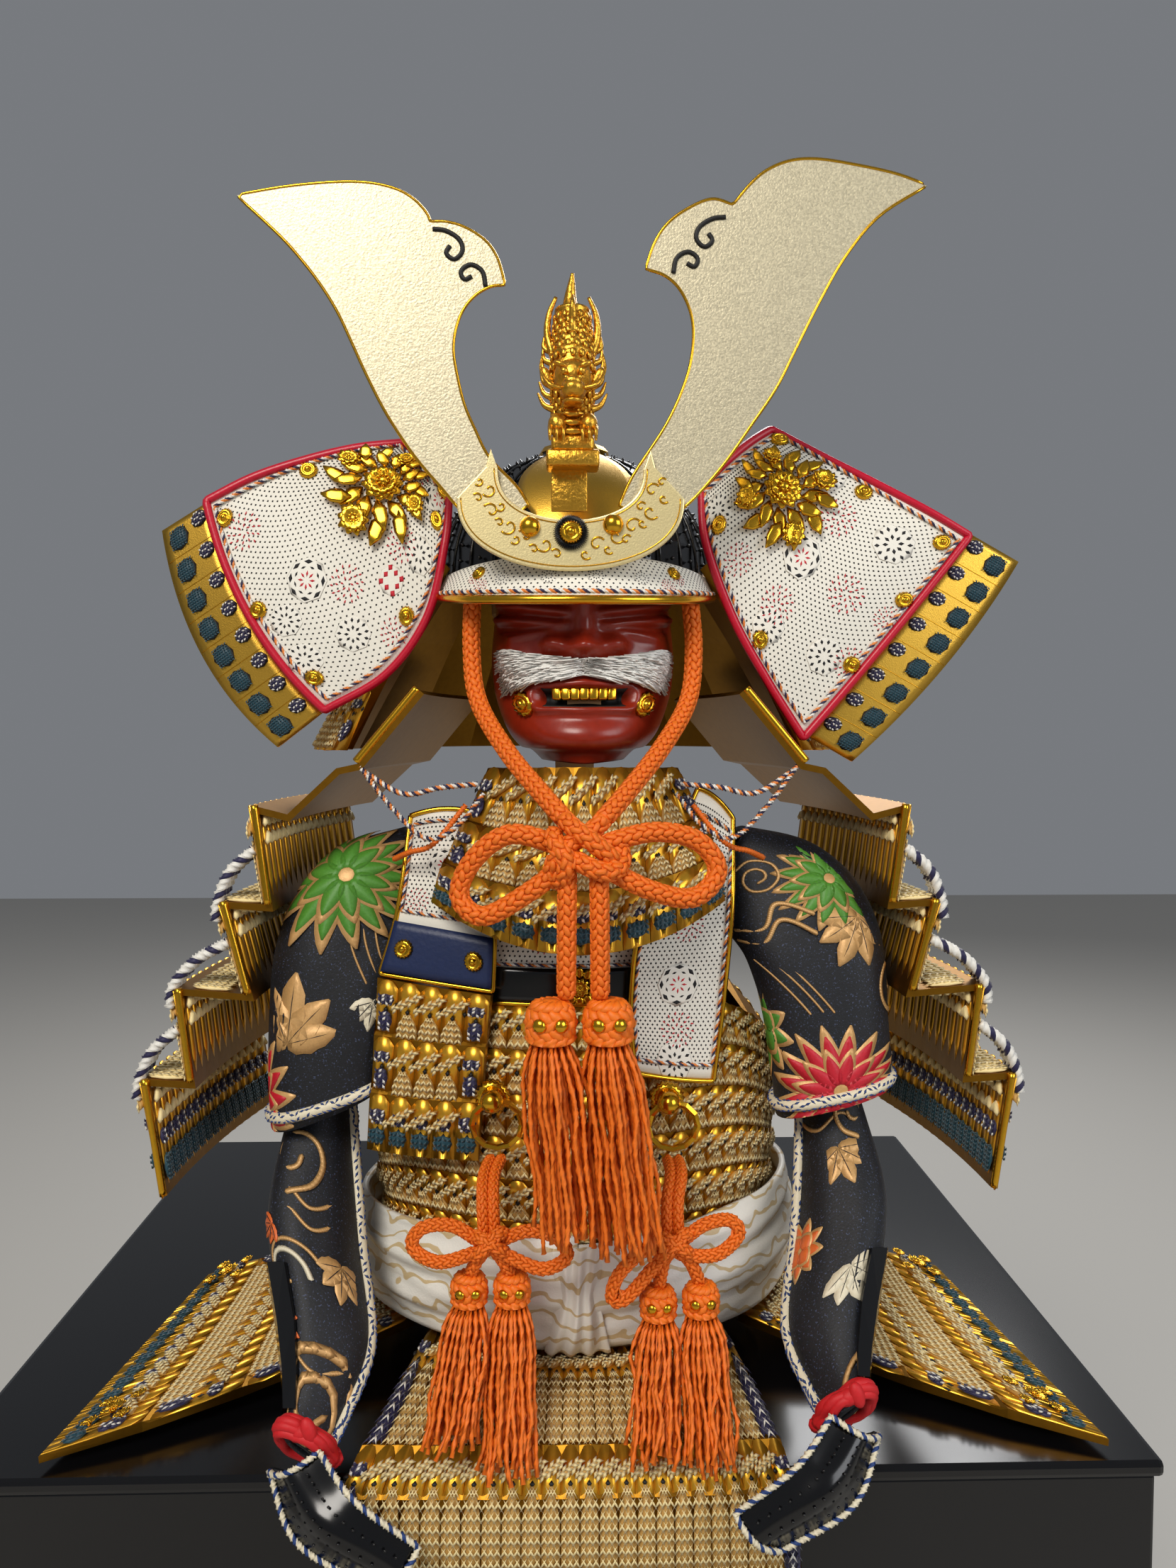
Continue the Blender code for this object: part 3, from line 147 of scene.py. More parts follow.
def tube(line, radius):
    """Round surface along a line: u once round, v along it."""
    side, up = frames(line)
    last = len(line) - 1

    def surface(u, v):
        s = np.clip(v, 0, 1) * last
        i = np.minimum(s.astype(int), last - 1)
        f = (s - i)[..., None]
        middle, a, b = (k[i] * (1 - f) + k[i + 1] * f for k in (line, side, up))
        turn = (math.tau * u)[..., None]
        r = radius(v)[..., None] if callable(radius) else radius
        return middle + r * (np.cos(turn) * a + np.sin(turn) * b)
    return surface


def on(surface, u, v, lift, way):
    """Points over a surface, lifted along its normal to the side that way points to."""
    e = 1e-3
    at = surface(u, v)
    normal = unit(np.cross(surface(u + e, v) - surface(u - e, v),
                           surface(u, np.minimum(v + e, 1)) - surface(u, np.maximum(v - e, 0))))
    towards = way(at) if callable(way) else np.asarray(way, float)
    flip = np.where((normal * towards).sum(-1, keepdims=True) < 0, -1.0, 1.0)
    return at + normal * flip * np.asarray(lift)[..., None]


def shape_of(made, slot=0):
    """A template from a bmesh: its points, triangles and material slots."""
    bmesh.ops.recalc_face_normals(made, faces=made.faces)
    bmesh.ops.triangulate(made, faces=made.faces)
    made.verts.index_update()
    points = np.array([v.co for v in made.verts])
    faces = np.array([[v.index for v in f.verts] for f in made.faces])
    made.free()
    return points, faces, np.full(len(faces), slot)


def grain(long, wide, high, sides=4, rings=2, slot=0):
    """A plump stitch, long along y, centred on the origin."""
    made = bmesh.new()
    bmesh.ops.create_uvsphere(made, u_segments=sides, v_segments=rings, radius=0.5)
    points, faces, slots = shape_of(made, slot)
    return np.stack([points[:, 0] * wide, points[:, 2] * long, -points[:, 1] * high], 1), faces, slots


def merged(shapes):
    """Several shapes as one."""
    points, faces, slots, start = [], [], [], 0
    for p, f, s in shapes:
        points.append(p)
        faces.append(f + start)
        slots.append(s)
        start += len(p)
    return np.concatenate(points), np.concatenate(faces), np.concatenate(slots)


def moved(shape, by=(0, 0, 0), turn=0.0, size=(1, 1, 1)):
    """A template scaled, turned in its own plane and moved."""
    points = shape[0] * size
    c, s = math.cos(turn), math.sin(turn)
    x, y = points[:, 0] * c - points[:, 1] * s, points[:, 0] * s + points[:, 1] * c
    return np.stack([x, y, points[:, 2]], 1) + by, shape[1], shape[2]


def strew(shape, surface, way, u, v, wide=None, high=None, turn=0.0, lift=0.0):
    """A template repeated over a surface and bent to it.

    wide and high are what one unit of its x and y takes up in u and v; left out, a unit is a
    millimetre.
    """
    points, faces, slots = shape
    u, v, turn, lift = (np.atleast_1d(np.asarray(k, float)) for k in (u, v, turn, lift))
    u, v, turn, lift = (k.ravel() for k in np.broadcast_arrays(u, v, turn, lift))
    if wide is None:
        e, at = 1e-3, surface(u, v)
        wide = e / np.linalg.norm(surface(u + e, v) - at, axis=1)
        step = np.where(v > 0.5, -e, e)
        high = e / np.linalg.norm(surface(u, v + step) - at, axis=1)
    wide, high = (np.broadcast_to(k, u.shape)[:, None] for k in (wide, high))
    c, s = np.cos(turn)[:, None], np.sin(turn)[:, None]
    a, b, h = points.T
    made = on(surface, u[:, None] + (a * c - b * s) * wide, v[:, None] + (a * s + b * c) * high,
              h + lift[:, None], way)
    index = faces[None] + (np.arange(len(u)) * len(points))[:, None, None]
    return made.reshape(-1, 3), index.reshape(-1, 3), np.tile(slots, len(u))


def piece(name, shapes, paints, smooth=True):
    """One object from templates in place, riding on the armour."""
    points, faces, slots = merged(shapes)
    mesh = bpy.data.meshes.new(name)
    mesh.vertices.add(len(points))
    mesh.vertices.foreach_set("co", ((points + (0, 0, LID_TOP)) * MM).ravel())
    mesh.loops.add(faces.size)
    mesh.loops.foreach_set("vertex_index", faces.ravel().astype(np.int32))
    mesh.polygons.add(len(faces))
    mesh.polygons.foreach_set("loop_start", np.arange(0, faces.size, 3, dtype=np.int32))
    mesh.polygons.foreach_set("material_index", slots.astype(np.int32))
    mesh.update(calc_edges=True)
    mesh.shade_smooth() if smooth else mesh.shade_flat()
    for paint in paints:
        mesh.materials.append(paint)
    return finished(bpy.data.objects.new(name, mesh))


def finished(made):
    """Turns normals outwards and lets the piece ride on the armour."""
    shape = bmesh.new()
    shape.from_mesh(made.data)
    bmesh.ops.recalc_face_normals(shape, faces=shape.faces)
    shape.to_mesh(made.data)
    shape.free()
    bpy.context.scene.collection.objects.link(made)
    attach(made, "root")
    return made


def skin(surface, way, columns, rows, closed=False, lift=0.0, slot=0, ends=False):
    """A grid over a surface as a template; u runs 0 to 1 where closed and -1 to 1 where not."""
    made = bmesh.new()
    bmesh.ops.create_grid(made, x_segments=columns, y_segments=rows, size=1.0)
    u = np.array([v.co.x for v in made.verts])
    v = np.array([0.5 - 0.5 * v.co.y for v in made.verts])
    if closed:
        u = (u + 1) / 2
    for vert, at in zip(made.verts, on(surface, u, v, lift + 0 * u, way)):
        vert.co = at
    if closed:
        bmesh.ops.remove_doubles(made, verts=made.verts, dist=1e-4)
    if ends:
        bmesh.ops.holes_fill(made, edges=made.edges, sides=columns + 1)
    return shape_of(made, slot)


def braid(keys, radius, columns=8, stitch=3.0, smooth=(5, 3)):
    """A round plait along a path: its template, its line and its length."""
    line, length = even(keys, max(16, len(keys) * 8))
    surface = tube(line, radius * 0.80)
    outwards = from_line(line)
    rows = int(length / stitch)
    k, r = np.meshgrid(np.arange(columns), np.arange(rows * 2))
    keep = (k + r) % 2 == 0
    k, r = k[keep], r[keep]
    leaf = grain(stitch * 1.45, math.tau * radius / columns * 0.98, radius * 0.5, *smooth)
    slant = np.where(k % 2 == 0, 0.42, -0.42)
    cover = strew(leaf, surface, outwards, k / columns, (r + 0.75) / (rows * 2 + 0.5), turn=slant,
                  lift=radius * 0.06)
    return [skin(surface, outwards, 12, len(line), True, ends=True), cover], line, length


def from_line(line):
    """Outward side of a tube: away from the nearest point of its line."""
    def way(at):
        flat = at.reshape(-1, 3)
        nearest = np.array([np.argmin(((line - p) ** 2).sum(1)) for p in flat]) if len(flat) < 60 else \
            np.concatenate([((line[None] - part[:, None]) ** 2).sum(2).argmin(1)
                            for part in np.array_split(flat, max(1, len(flat) // 4000))])
        return at - line[nearest].reshape(at.shape)
    return way


def world(line):
    """A line in millimetres above the lid as points in metres."""
    return ((np.asarray(line) + (0, 0, LID_TOP)) * MM).tolist()


# Dyed silk, plaited: matt, with a thread-fine grain.
ORANGE = material("orange silk braid", "EE7010", 0.0, 0.6, 0.22, 0.05, 2600.0)
CHIN = {
    "left": [(-34.0, -42.9, 268.6), (-34.5, -43.5, 247.0), (-32.0, -50.0, 230.0),
             (-22.0, -68.0, 214.0), (-10.5, -85.0, 201.2), (-4.0, -93.2, 194.5)],
    "right": [(38.0, -42.2, 262.8), (39.0, -43.5, 247.0), (36.5, -50.0, 230.0),
              (26.0, -68.0, 214.5), (13.8, -85.0, 201.2), (7.0, -93.2, 194.5)],
}
for side, keys in CHIN.items():
    parts, line, length = braid(keys, 2.9)
    made = piece("braided_chin_cord_" + side, parts, [ORANGE])
    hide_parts("chin_cord_" + side)
    world(line)[0]
    world(line)


# Bow under the chin. The same braids, tied with a crossed knot and two drooping loops.
BOW = {
    "left": [(-5.0, -94.5, 187.0), (-20.0, -94.5, 190.5), (-31.0, -92.5, 182.5), (-35.0, -91.5, 172.0),
             (-28.0, -94.5, 166.5), (-15.0, -96.5, 173.5), (-4.5, -96.5, 181.5)],
    "right": [(7.0, -94.5, 187.5), (22.0, -94.0, 191.0), (35.0, -91.5, 188.0), (41.0, -90.5, 179.0),
              (33.5, -93.0, 171.5), (20.0, -96.0, 174.5), (6.5, -96.5, 181.5)],
}
for side, keys in BOW.items():
    parts, line, length = braid(keys, 2.9)
    made = piece("bow_loop_" + side, parts, [ORANGE])
    world(line)[0]
    world(line)
KNOT = [
    [(-4.5, -93.4, 195.0), (-1.0, -98.0, 192.0), (4.0, -100.0, 188.5), (9.5, -98.5, 183.5),
     (11.0, -94.0, 179.5)],
    [(7.5, -93.4, 195.0), (4.0, -94.5, 191.5), (-2.5, -98.0, 188.0), (-7.0, -99.0, 183.0),
     (-8.0, -95.5, 177.5)],
    [(-7.5, -94.0, 191.0), (-7.0, -99.0, 188.0), (-3.5, -101.0, 183.5), (-5.0, -99.0, 178.5),
     (-7.5, -94.0, 176.5)],
    [(-3.0, -97.0, 184.5), (3.0, -101.0, 181.5), (9.0, -100.5, 180.0), (12.5, -96.0, 183.0),
     (11.0, -93.5, 188.0)],
]
parts = []
for keys in KNOT:
    parts += braid(keys, 2.8)[0]
knot = piece("bow_knot", parts, [ORANGE])
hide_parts("chin_bow")


# Tails of the bow. Two braids hang from the knot to the big tassels.
for side, x, top in (("left", -3.4, 177.1), ("right", 5.6, 177.6)):
    keys = [(x, -97.2, top + 5.0), (x * 1.05, -97.4, 169.0), (x * 1.08, -96.4, 156.0),
            (x * 1.1, -95.0, 142.7)]
    parts, line, length = braid(keys, 2.8)
    made = piece("braided_tail_" + side, parts, [ORANGE])
    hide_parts("tail_cord_" + side)
    world(line)[0]
    world(line)


# Side cords. Two parallel braids fall from each gilt ring over the sash and end in an
# ornamental knot with two ears.
SIDE_CORDS = {
    "left": ([(-25.8, -66.4, 84.7), (-27.5, -76.0, 83.0), (-27.5, -84.0, 78.0), (-26.8, -87.0, 66.5)],
             [(-26.7, -88.0, 66.5), (-30.0, -88.0, 67.5), (-38.0, -88.5, 72.5), (-47.0, -88.0, 71.5),
              (-50.0, -87.5, 65.5), (-42.0, -89.0, 61.5), (-31.0, -89.5, 64.5), (-26.0, -90.0, 66.0)],
             [(-26.0, -88.5, 66.5), (-23.5, -88.0, 67.5), (-15.0, -89.5, 71.0), (-6.5, -89.0, 68.5),
              (-3.5, -88.5, 62.5), (-11.0, -90.0, 59.5), (-22.0, -90.0, 64.0), (-26.5, -90.0, 66.0)],
             (-26.7, 66.5), (-32.6, -20.6, 56.5, 56.5)),
    "right": ([(30.6, -64.8, 83.1), (30.5, -76.0, 82.5), (28.5, -84.5, 77.0), (28.5, -87.0, 66.5)],
              [(28.6, -88.0, 66.0), (32.0, -88.0, 67.5), (38.0, -88.5, 72.0), (45.5, -88.0, 73.0),
               (48.5, -87.5, 68.5), (42.0, -89.0, 63.0), (33.0, -89.5, 63.0), (28.0, -90.0, 65.0)],
              [(28.0, -88.5, 66.0), (25.3, -88.0, 66.5), (18.0, -89.5, 63.5), (11.5, -89.5, 56.5),
               (10.0, -89.0, 49.5), (14.5, -90.0, 50.5), (24.0, -90.0, 61.5), (28.5, -90.0, 64.5)],
              (28.6, 65.5), (24.4, 36.8, 52.0, 53.0)),
}
for side, (fall, ear_out, ear_in, (x, z), (left, right, left_z, right_z)) in SIDE_CORDS.items():
    for number, shift in enumerate((-1.7, 1.7)):
        keys = [np.add(p, (shift, 0, 0)) for p in fall]
        parts, line, length = braid(keys, 1.8, 8, 2.2, (5, 3))
        made = piece("ring_cord_%s_%d" % (side, number + 1), parts, [ORANGE])
        world(line)[0]
        world(line)
    parts = []
    for keys in (ear_out, ear_in,
                 [(x - 5.0, -87.5, z + 2.5), (x - 1.5, -92.0, z + 2.8), (x + 3.5, -91.5, z - 0.5),
                  (x + 4.5, -87.5, z - 3.0)],
                 [(x + 5.0, -87.5, z + 3.0), (x + 2.5, -91.0, z + 4.0), (x - 3.0, -92.5, z - 1.0),
                  (x - 4.5, -87.5, z - 3.5)],
                 [(x - 1.5, -88.0, z - 2.0), ((x + left) / 2 - 1, -88.5, z - 5.0), (left, -86.0, left_z)],
                 [(x + 1.5, -88.0, z - 2.0), ((x + right) / 2 + 1, -88.5, z - 5.0),
                  (right, -86.0, right_z)]):
        parts += braid(keys, 2.0, 8, 2.4, (4, 3))[0]
    made = piece("side_knot_" + side, parts, [ORANGE])
    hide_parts("side_cord_" + side)


# Tassels. Each is a plaited head with two small gilt beads, over forty-one loosely
# twisted two-ply silk threads.
def rope(line, radius, lobes, pitch, slots=(0,)):
    """A twisted cord: a lobed section that turns as it runs, with one slot for each strand."""
    side, up = frames(line)
    run = np.concatenate([[0], np.cumsum(np.linalg.norm(np.diff(line, axis=0), axis=1))])
    around = 3 * lobes
    k = np.arange(around)
    r = radius * np.where(k % 3 == 1, 1.0, 0.74)
    turn = math.tau * k / around + (math.tau * run / pitch)[:, None]
    points = (line[:, None] + (r * np.cos(turn))[..., None] * side[:, None]
              + (r * np.sin(turn))[..., None] * up[:, None]).reshape(-1, 3)
    made = []
    for i in range(len(line) - 1):
        a, b = i * around + k, i * around + (k + 1) % around
        made += [np.stack([a, b, b + around], 1), np.stack([a, b + around, a + around], 1)]
    colours = np.asarray([slots[(j // 3) % len(slots)] for j in k])
    paint = np.tile(colours, 2 * (len(line) - 1))
    fan = np.array([(0, j + 1, j) for j in range(1, around - 1)])
    last = (len(line) - 1) * around
    caps = np.concatenate([fan, fan[:, ::-1] + last])
    return points, np.concatenate(made + [caps]), np.concatenate([paint, np.full(len(caps), slots[0])])


# The same silk as loose threads, a little brighter.
THREAD = material("orange silk thread", "F07412", 0.0, 0.55, 0.18, 0.0, 1400.0)
# Brass castings and rims, gilded and polished.
GILT = material("polished gilt", "E3AC2E", 1.0, 0.22, 0.10, 0.02, 700.0)
TASSELS = {
    # x, y, top of the head, head radius, head height, tip x, tip y, tip z, flare, depth
    "tassel_left": (-8.3, -95.0, 142.2, 7.9, 12.5, -3.0, -97.0, 70.0, 1.12, 1.35),
    "tassel_right": (8.5, -95.0, 142.2, 7.9, 12.5, 15.5, -97.0, 66.0, 1.12, 1.35),
    "side_tassel_left_outer": (-33.2, -85.0, 56.5, 6.0, 9.5, -37.5, -103.0, 12.0, 1.24, 0.9),
    "side_tassel_left_inner": (-20.2, -85.0, 56.5, 6.0, 9.5, -20.5, -104.0, 5.0, 1.24, 0.9),
    "side_tassel_right_inner": (24.2, -86.0, 52.0, 6.0, 9.5, 21.5, -103.0, 7.5, 1.20, 0.9),
    "side_tassel_right_outer": (37.2, -86.0, 53.0, 6.0, 9.5, 38.5, -104.0, 5.0, 1.20, 0.9),
}
STRANDS, GOLDEN_ANGLE, STEP = 41, 2.39996, 3.0
luck = np.random.default_rng(7)
for name, (x, y, top, radius, high, tip_x, tip_y, tip_z, flare, deep) in TASSELS.items():
    head = tube(np.array([(x, y, top - high * t) for t in np.linspace(0, 1, 9)]),
                lambda v, r=radius: r * 0.86 * np.interp(v, (0, 0.18, 0.5, 0.8, 1.0),
                                                         (0.32, 0.86, 1.0, 0.92, 0.98)))
    middle = np.array([x, y, top - high / 2])
    parts = [skin(head, lambda at: at - middle, 16, 9, True, ends=True)]
    rows = 5 if radius > 7 else 4
    k, r = np.meshgrid(np.arange(12), np.arange(rows))
    leaf = grain(radius * 0.78, radius * 0.44, radius * 0.34, 6, 4)
    parts.append(strew(leaf, head, lambda at: at - middle, (k + r % 2 * 0.5).ravel() / 12,
                       (0.12 + r.ravel() * 0.8 / (rows - 1)), turn=np.where(r.ravel() % 2, 0.8, -0.8)))
    bead = grain(radius * 0.5, radius * 0.5, radius * 0.3, 10, 6, 1)
    parts.append(strew(bead, head, lambda at: at - middle, np.array([0.18, 0.32, 0.68, 0.82]),
                       np.full(4, 0.5), lift=radius * 0.12))
    root = np.array([x, y, top - high])
    for i in range(STRANDS):
        share = math.sqrt((i + 0.5) / STRANDS)
        turn = i * GOLDEN_ANGLE
        away = np.array([math.cos(turn), math.sin(turn), 0]) * radius * share
        low = np.array([tip_x, tip_y, tip_z + luck.uniform(0, 6.5)])
        t = np.linspace(0, 1, 7)[:, None]
        spread = np.interp(t, (0, 0.08, 0.3, 1.0), (0.70, 1.12, 1.2, 1.1 * flare))
        keys = root + (low - root) * t + away * spread * (1 + (np.array([1, deep, 1]) - 1) * t)
        keys[2:6, :2] += luck.normal(0, 0.5, (4, 2))
        keys[6, :2] += luck.normal(0, 0.9, 2)
        line = even(keys, int((root[2] - low[2]) / STEP))[0]
        parts.append(rope(line, 0.95, 2, 16.0))
    made = piece("threaded_" + name, parts, [THREAD, GILT])
    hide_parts(name)


# Front skirt. Four rows of gilt lames with rounded tips, each laced with a twisted row of braid
# and, under it, flat ecru laces of three plaits that run down behind the next row.
def patch(sections):
    """Surface over sections that each run left, middle, right: u is -1 to 1, v is 0 to 1."""
    left, middle, right = (np.array([s[k] for s in sections], float) for k in range(3))

    def surface(u, v):
        u = u[..., None]
        return (spline(left, v) * (u * (u - 1) / 2) + spline(middle, v) * (1 - u * u)
                + spline(right, v) * (u * (u + 1) / 2))
    return surface


def bands(row):
    """Where a row's parts lie, as shares of its height: tip end, twist, holes and lace start."""
    k = min(1.0, row / 21.0)
    return 4.4 * k / row, 7.2 * k / row, 11.6 * k / row, k


def walled(made, thick, pitch=1.0, row=1.0):
    """Gives an open sheet its wall, in millimetres, on the side away from +z."""
    for vert in made.verts:
        vert.co = (vert.co.x * pitch, vert.co.y * row, vert.co.z)
    made.normal_update()
    if sum(f.normal.z for f in made.faces) < 0:
        bmesh.ops.reverse_faces(made, faces=made.faces)
    bmesh.ops.solidify(made, geom=made.faces, thickness=thick)
    for vert in made.verts:
        vert.co = (vert.co.x / pitch, vert.co.y / row, vert.co.z)


def lame(pitch, row, high=1.5, fall=1.2, flute=0.55, columns=4, rows=2, slot=0, tip=3.4):
    """One lame of a row: x is -0.5 to 0.5 of the pitch, y is 0 to 1 of the row."""
    made = bmesh.new()
    bmesh.ops.create_grid(made, x_segments=columns, y_segments=rows, size=0.5)
    for vert in made.verts:
        a, t = vert.co.x, 0.5 - vert.co.y
        start = tip / row * (1 - math.sqrt(max(0.0, 1 - (1.96 * a) ** 2)))
        t = t ** 1.8
        swell = flute * math.cos(math.pi * a) ** 0.7 * (1.0 - 0.3 * t)
        vert.co = (a * 0.97, start + (1.03 - start) * t, high - fall * t + swell - 0.35)
    walled(made, 0.5, pitch, row)
    return shape_of(made, slot)


def lace(pitch, row, chains=3, stitch=1.9, high=1.5, fall=1.2, slots=(2, 2, 2)):
    """A flat plait down a lame, pointed where it leaves its hole; same units as a lame."""
    start, stop = bands(row)[2], 1.0

    def place(t, a):
        full = 0.93 * min(1.0, 0.20 + 2.8 * t * (stop - start) * row / 15)
        b = start + (stop - start) * t
        dome = math.sqrt(max(0.0, 1 - (1.9 * a) ** 2))
        return a * full, b, high - fall * b + 0.35 + 0.75 * dome, full
    made = bmesh.new()
    bmesh.ops.create_grid(made, x_segments=2, y_segments=3, size=0.5)
    for vert in made.verts:
        x, b, h, _ = place(0.5 - vert.co.y, vert.co.x)
        vert.co = (x, b, h - 0.35)
    walled(made, 0.6, pitch, row)
    # The flat tongue under the stitches takes the painted-shade braid (slot 6), or navy in the coloured
    # columns.
    parts = [shape_of(made, 6 if slots[0] == 2 else 4)]
    count = max(2, int((stop - start) * row / stitch))
    leaf = grain(stitch * 1.35, pitch / chains * 0.42, 0.85, 3)
    for c in range(chains):
        centre = (c + 0.5) / chains - 0.5
        for s in range(count):
            for way in (-1, 1):
                x, b, h, full = place((s + 0.5) / count, centre + way * 0.235 / chains)
                stitch_made = moved(leaf, turn=-way * 0.55, size=(max(0.4, full), 1, 1))
                points = stitch_made[0] * (1 / pitch, 1 / row, 1) + (x, b, h)
                parts.append((points, leaf[1], np.full(len(leaf[1]), slots[c])))
    return merged(parts)


def twist(pitch, row, slots=(2, 2), high=1.5, reach=0.86):
    """One slanted turn of the twisted row: close plaits over a round core."""
    _, at, _, k = bands(row)
    thick, slope = 5.0 * max(k, 0.8), 0.55
    long = pitch * reach * 2
    # The round core seen between the plaits takes the painted-shade braid (slot 6), or navy.
    core = moved(grain(long, thick * 0.60, 2.6, 5, 3, 6 if slots[0] == 2 else 4), (0, 0, 0.3),
                 -math.pi / 2 - slope)
    parts = [core]
    leaf = grain(2.9, 1.3, 0.85, 3)
    for c in range(3):
        across = (c - 1) / 3 * thick * 0.62
        for s in range(4):
            x = ((s + 0.5 + 0.5 * (c % 2)) / 4.5 * 2 - 1) * long / 2
            round_by = math.sqrt(max(0.0, 1 - (2 * x / long) ** 2))
            out = 1.3 * round_by * math.sqrt(max(0.05, 1 - (across / thick * 3.0) ** 2)) + 0.35
            point = (x * math.cos(slope) + across * round_by * math.sin(slope),
                     -x * math.sin(slope) + across * round_by * math.cos(slope), out)
            made = moved(leaf, point, -math.pi / 2 - slope + (0.55 if c % 2 else -0.55))
            parts.append((made[0], made[1], np.full(len(made[1]), slots[(s // 2) % 2])))
    points, faces, paints = merged(parts)
    return points * (1 / pitch, 1 / row, 1) + (0, at, high), faces, paints


def hole(pitch, row, a, b, high, wide=1.7, slot=1):
    """A near-black lump at (a, b) of a lame: painted shade inside the hole a lace runs through."""
    made = grain(wide * 1.3, wide, 0.6, 5, 2, slot)
    return made[0] * (1 / pitch, 1 / row, 1) + (a, b, high), made[1], made[2]


def bar(pitch, row, wide, long, at, high=1.5, paints=(3, 3), cell=1.5):
    """A block of close herringbone plait, as laced across the lowest rows."""
    parts = [moved(grain(long * 1.05, wide * 1.05, 1.8, 8, 4, paints[0]))]
    leaf = grain(cell * 1.3, cell * 0.74, 0.8, 3)
    columns, rows = max(2, int(wide / cell / 0.85)), max(3, int(long / cell))
    for i in range(columns):
        for j in range(rows):
            x, y = ((i + 0.5) / columns - 0.5) * wide, ((j + 0.5) / rows - 0.5) * long
            edge = (2 * x / wide) ** 2 + (2 * y / long) ** 2
            if edge > (1.1 if len(paints) > 1 else 1.7):
                continue
            paint = paints[(i + j // 2) % len(paints)]
            stitch_made = moved(leaf, (x, y, 0.95 * math.sqrt(max(0.2, 1 - 0.5 * edge))),
                                0.6 if i % 2 else -0.6)
            parts.append((stitch_made[0], stitch_made[1], np.full(len(leaf[1]), paint)))
    points, faces, slots = merged(parts)
    return points * (1 / pitch, 1 / row, 1) + (0, at, high), faces, slots


# Pressed sheet-metal lames, gilded and slightly dulled.
LAMES = material("gilt lames", "EDB238", 0.88, 0.32, 0.14, 0.03, 500.0)
# Painted shade: near-black for the dark inside the lace holes, the horns' slits and the mask's open mouth.
PAINTED_HOLE_SHADE = material("painted shade in holes", "0A0806", 0.0, 0.6)
# Pale yellow-brown silk braid that laces most rows.
ECRU = material("ecru braid", "F4DCA0", 0.0, 0.6, 0.16, 0.03, 1500.0, 0.2)
# Blue-green silk braid of the lowest rows' blocks.
TEAL = material("teal braid", "134250", 0.0, 0.5, 0.25, 0.03, 1500.0, 0.2)
# Navy silk, one half of the two-coloured braid.
NAVY = material("navy braid", "201C46", 0.0, 0.55, 0.2, 0.03, 1500.0, 0.2)
# White silk, its other half.
WHITE = material("white braid", "ECE9E0", 0.0, 0.55, 0.08, 0.03, 1500.0, 0.2)
# Silk under the stitches, seen between them: a darker copy of the ecru braid, painted shade between the
# stitches.
SHADE = material("braid in shade", "C49A54", 0.0, 0.7)
ROW_PAINTS = [LAMES, PAINTED_HOLE_SHADE, ECRU, TEAL, NAVY, WHITE, SHADE]


def laced(name, surface, way, rows, lames, row, pitch, first=0, last=None, coloured=0, low=-1.0,
          high=1.0, bottom=False, stitch=1.9, tip=3.4):
    """Rows of lames with their lacing over a surface.

    row and pitch are in millimetres. coloured is how many outer columns are navy and white, and
    bottom gives the last row ovals and teal blocks.
    """
    last = rows if last is None else last
    wide, tall = (high - low) / lames, 1.0 / rows
    u = low + (np.arange(lames) + 0.5) * wide
    _, _, start, k = bands(row)
    # Near-black lumps at the holes: painted shade inside them.
    holes = merged([hole(pitch, row, 0.0, start - 0.6 * k / row, 1.55),
                    hole(pitch, row, -0.5, start - 2.4 / row, 1.35)])
    plain = merged([lace(pitch, row, stitch=stitch), holes])
    if row > 30:
        mixed = merged([lace(pitch, row, slots=(4, 5, 4), stitch=stitch), holes])
    else:
        mixed = merged([bar(pitch, row, min(4.8, pitch * 0.72), row * 0.36, 0.72, 1.5, (4, 5)), holes])
    over = twist(pitch, row)
    over_mixed = bar(pitch, row, min(5.6, pitch * 0.86), 3.6, bands(row)[1], 1.7, (4, 5))
    # The lowest row's blocks and ovals sit on near-black lumps, painted shade of their holes.
    blocks = merged([bar(pitch, row, pitch * 0.62, 4.2, 0.40, 1.2, (4, 5)),
                     hole(pitch, row, 0, 0.40, 1.1, 4.0),
                     hole(pitch, row, 0, 0.72, 1.0, 5.0),
                     bar(pitch, row, pitch * 0.80, 5.0, 0.72, 1.1, (3,))])
    outer = np.zeros(lames, bool)
    if coloured:
        outer[:coloured] = outer[-coloured:] = True
    shapes, plate = [], lame(pitch, row, tip=tip)
    for i in range(first, last):
        v = np.full(lames, i / rows)
        shapes.append(strew(plate, surface, way, u, v, wide, tall))
        if bottom and i == rows - 1:
            shapes.append(strew(blocks, surface, way, u, v, wide, tall))
        else:
            shapes.append(strew(plain, surface, way, u[~outer], v[~outer], wide, tall))
            if coloured:
                shapes.append(strew(mixed, surface, way, u[outer], v[outer], wide, tall))
        shapes.append(strew(over, surface, way, u[~outer], v[~outer], wide, tall))
        if coloured:
            shapes.append(strew(over_mixed, surface, way, u[outer], v[outer], wide, tall))
    return piece(name, shapes, ROW_PAINTS)


SKIRT_FRONT = [
    ((-50, -41.0, 15.4), (0, -58.0, 16.1), (50, -41.0, 15.4)),
    ((-59, -80.0, 12.0), (0, -84.0, 12.5), (57, -80.0, 12.0)),
    ((-69, -101.5, 0.0), (0, -103.0, 0.0), (63, -101.5, 0.0)),
    ((-71, -102.5, -26.0), (0, -104.0, -26.0), (65, -102.5, -26.0)),
    ((-72, -102.5, -54.0), (0, -104.0, -54.0), (67, -102.5, -54.0)),
    ((-73, -102.5, -82.0), (0, -104.0, -82.0), (69, -102.5, -82.0)),
    ((-74, -102.5, -110.0), (0, -104.0, -110.0), (71, -102.5, -110.0)),
]
laced("front_skirt_lacing", patch(SKIRT_FRONT), (0, -1, 0.4), 4, 24, 38.0, 5.6, coloured=1, stitch=3.1)


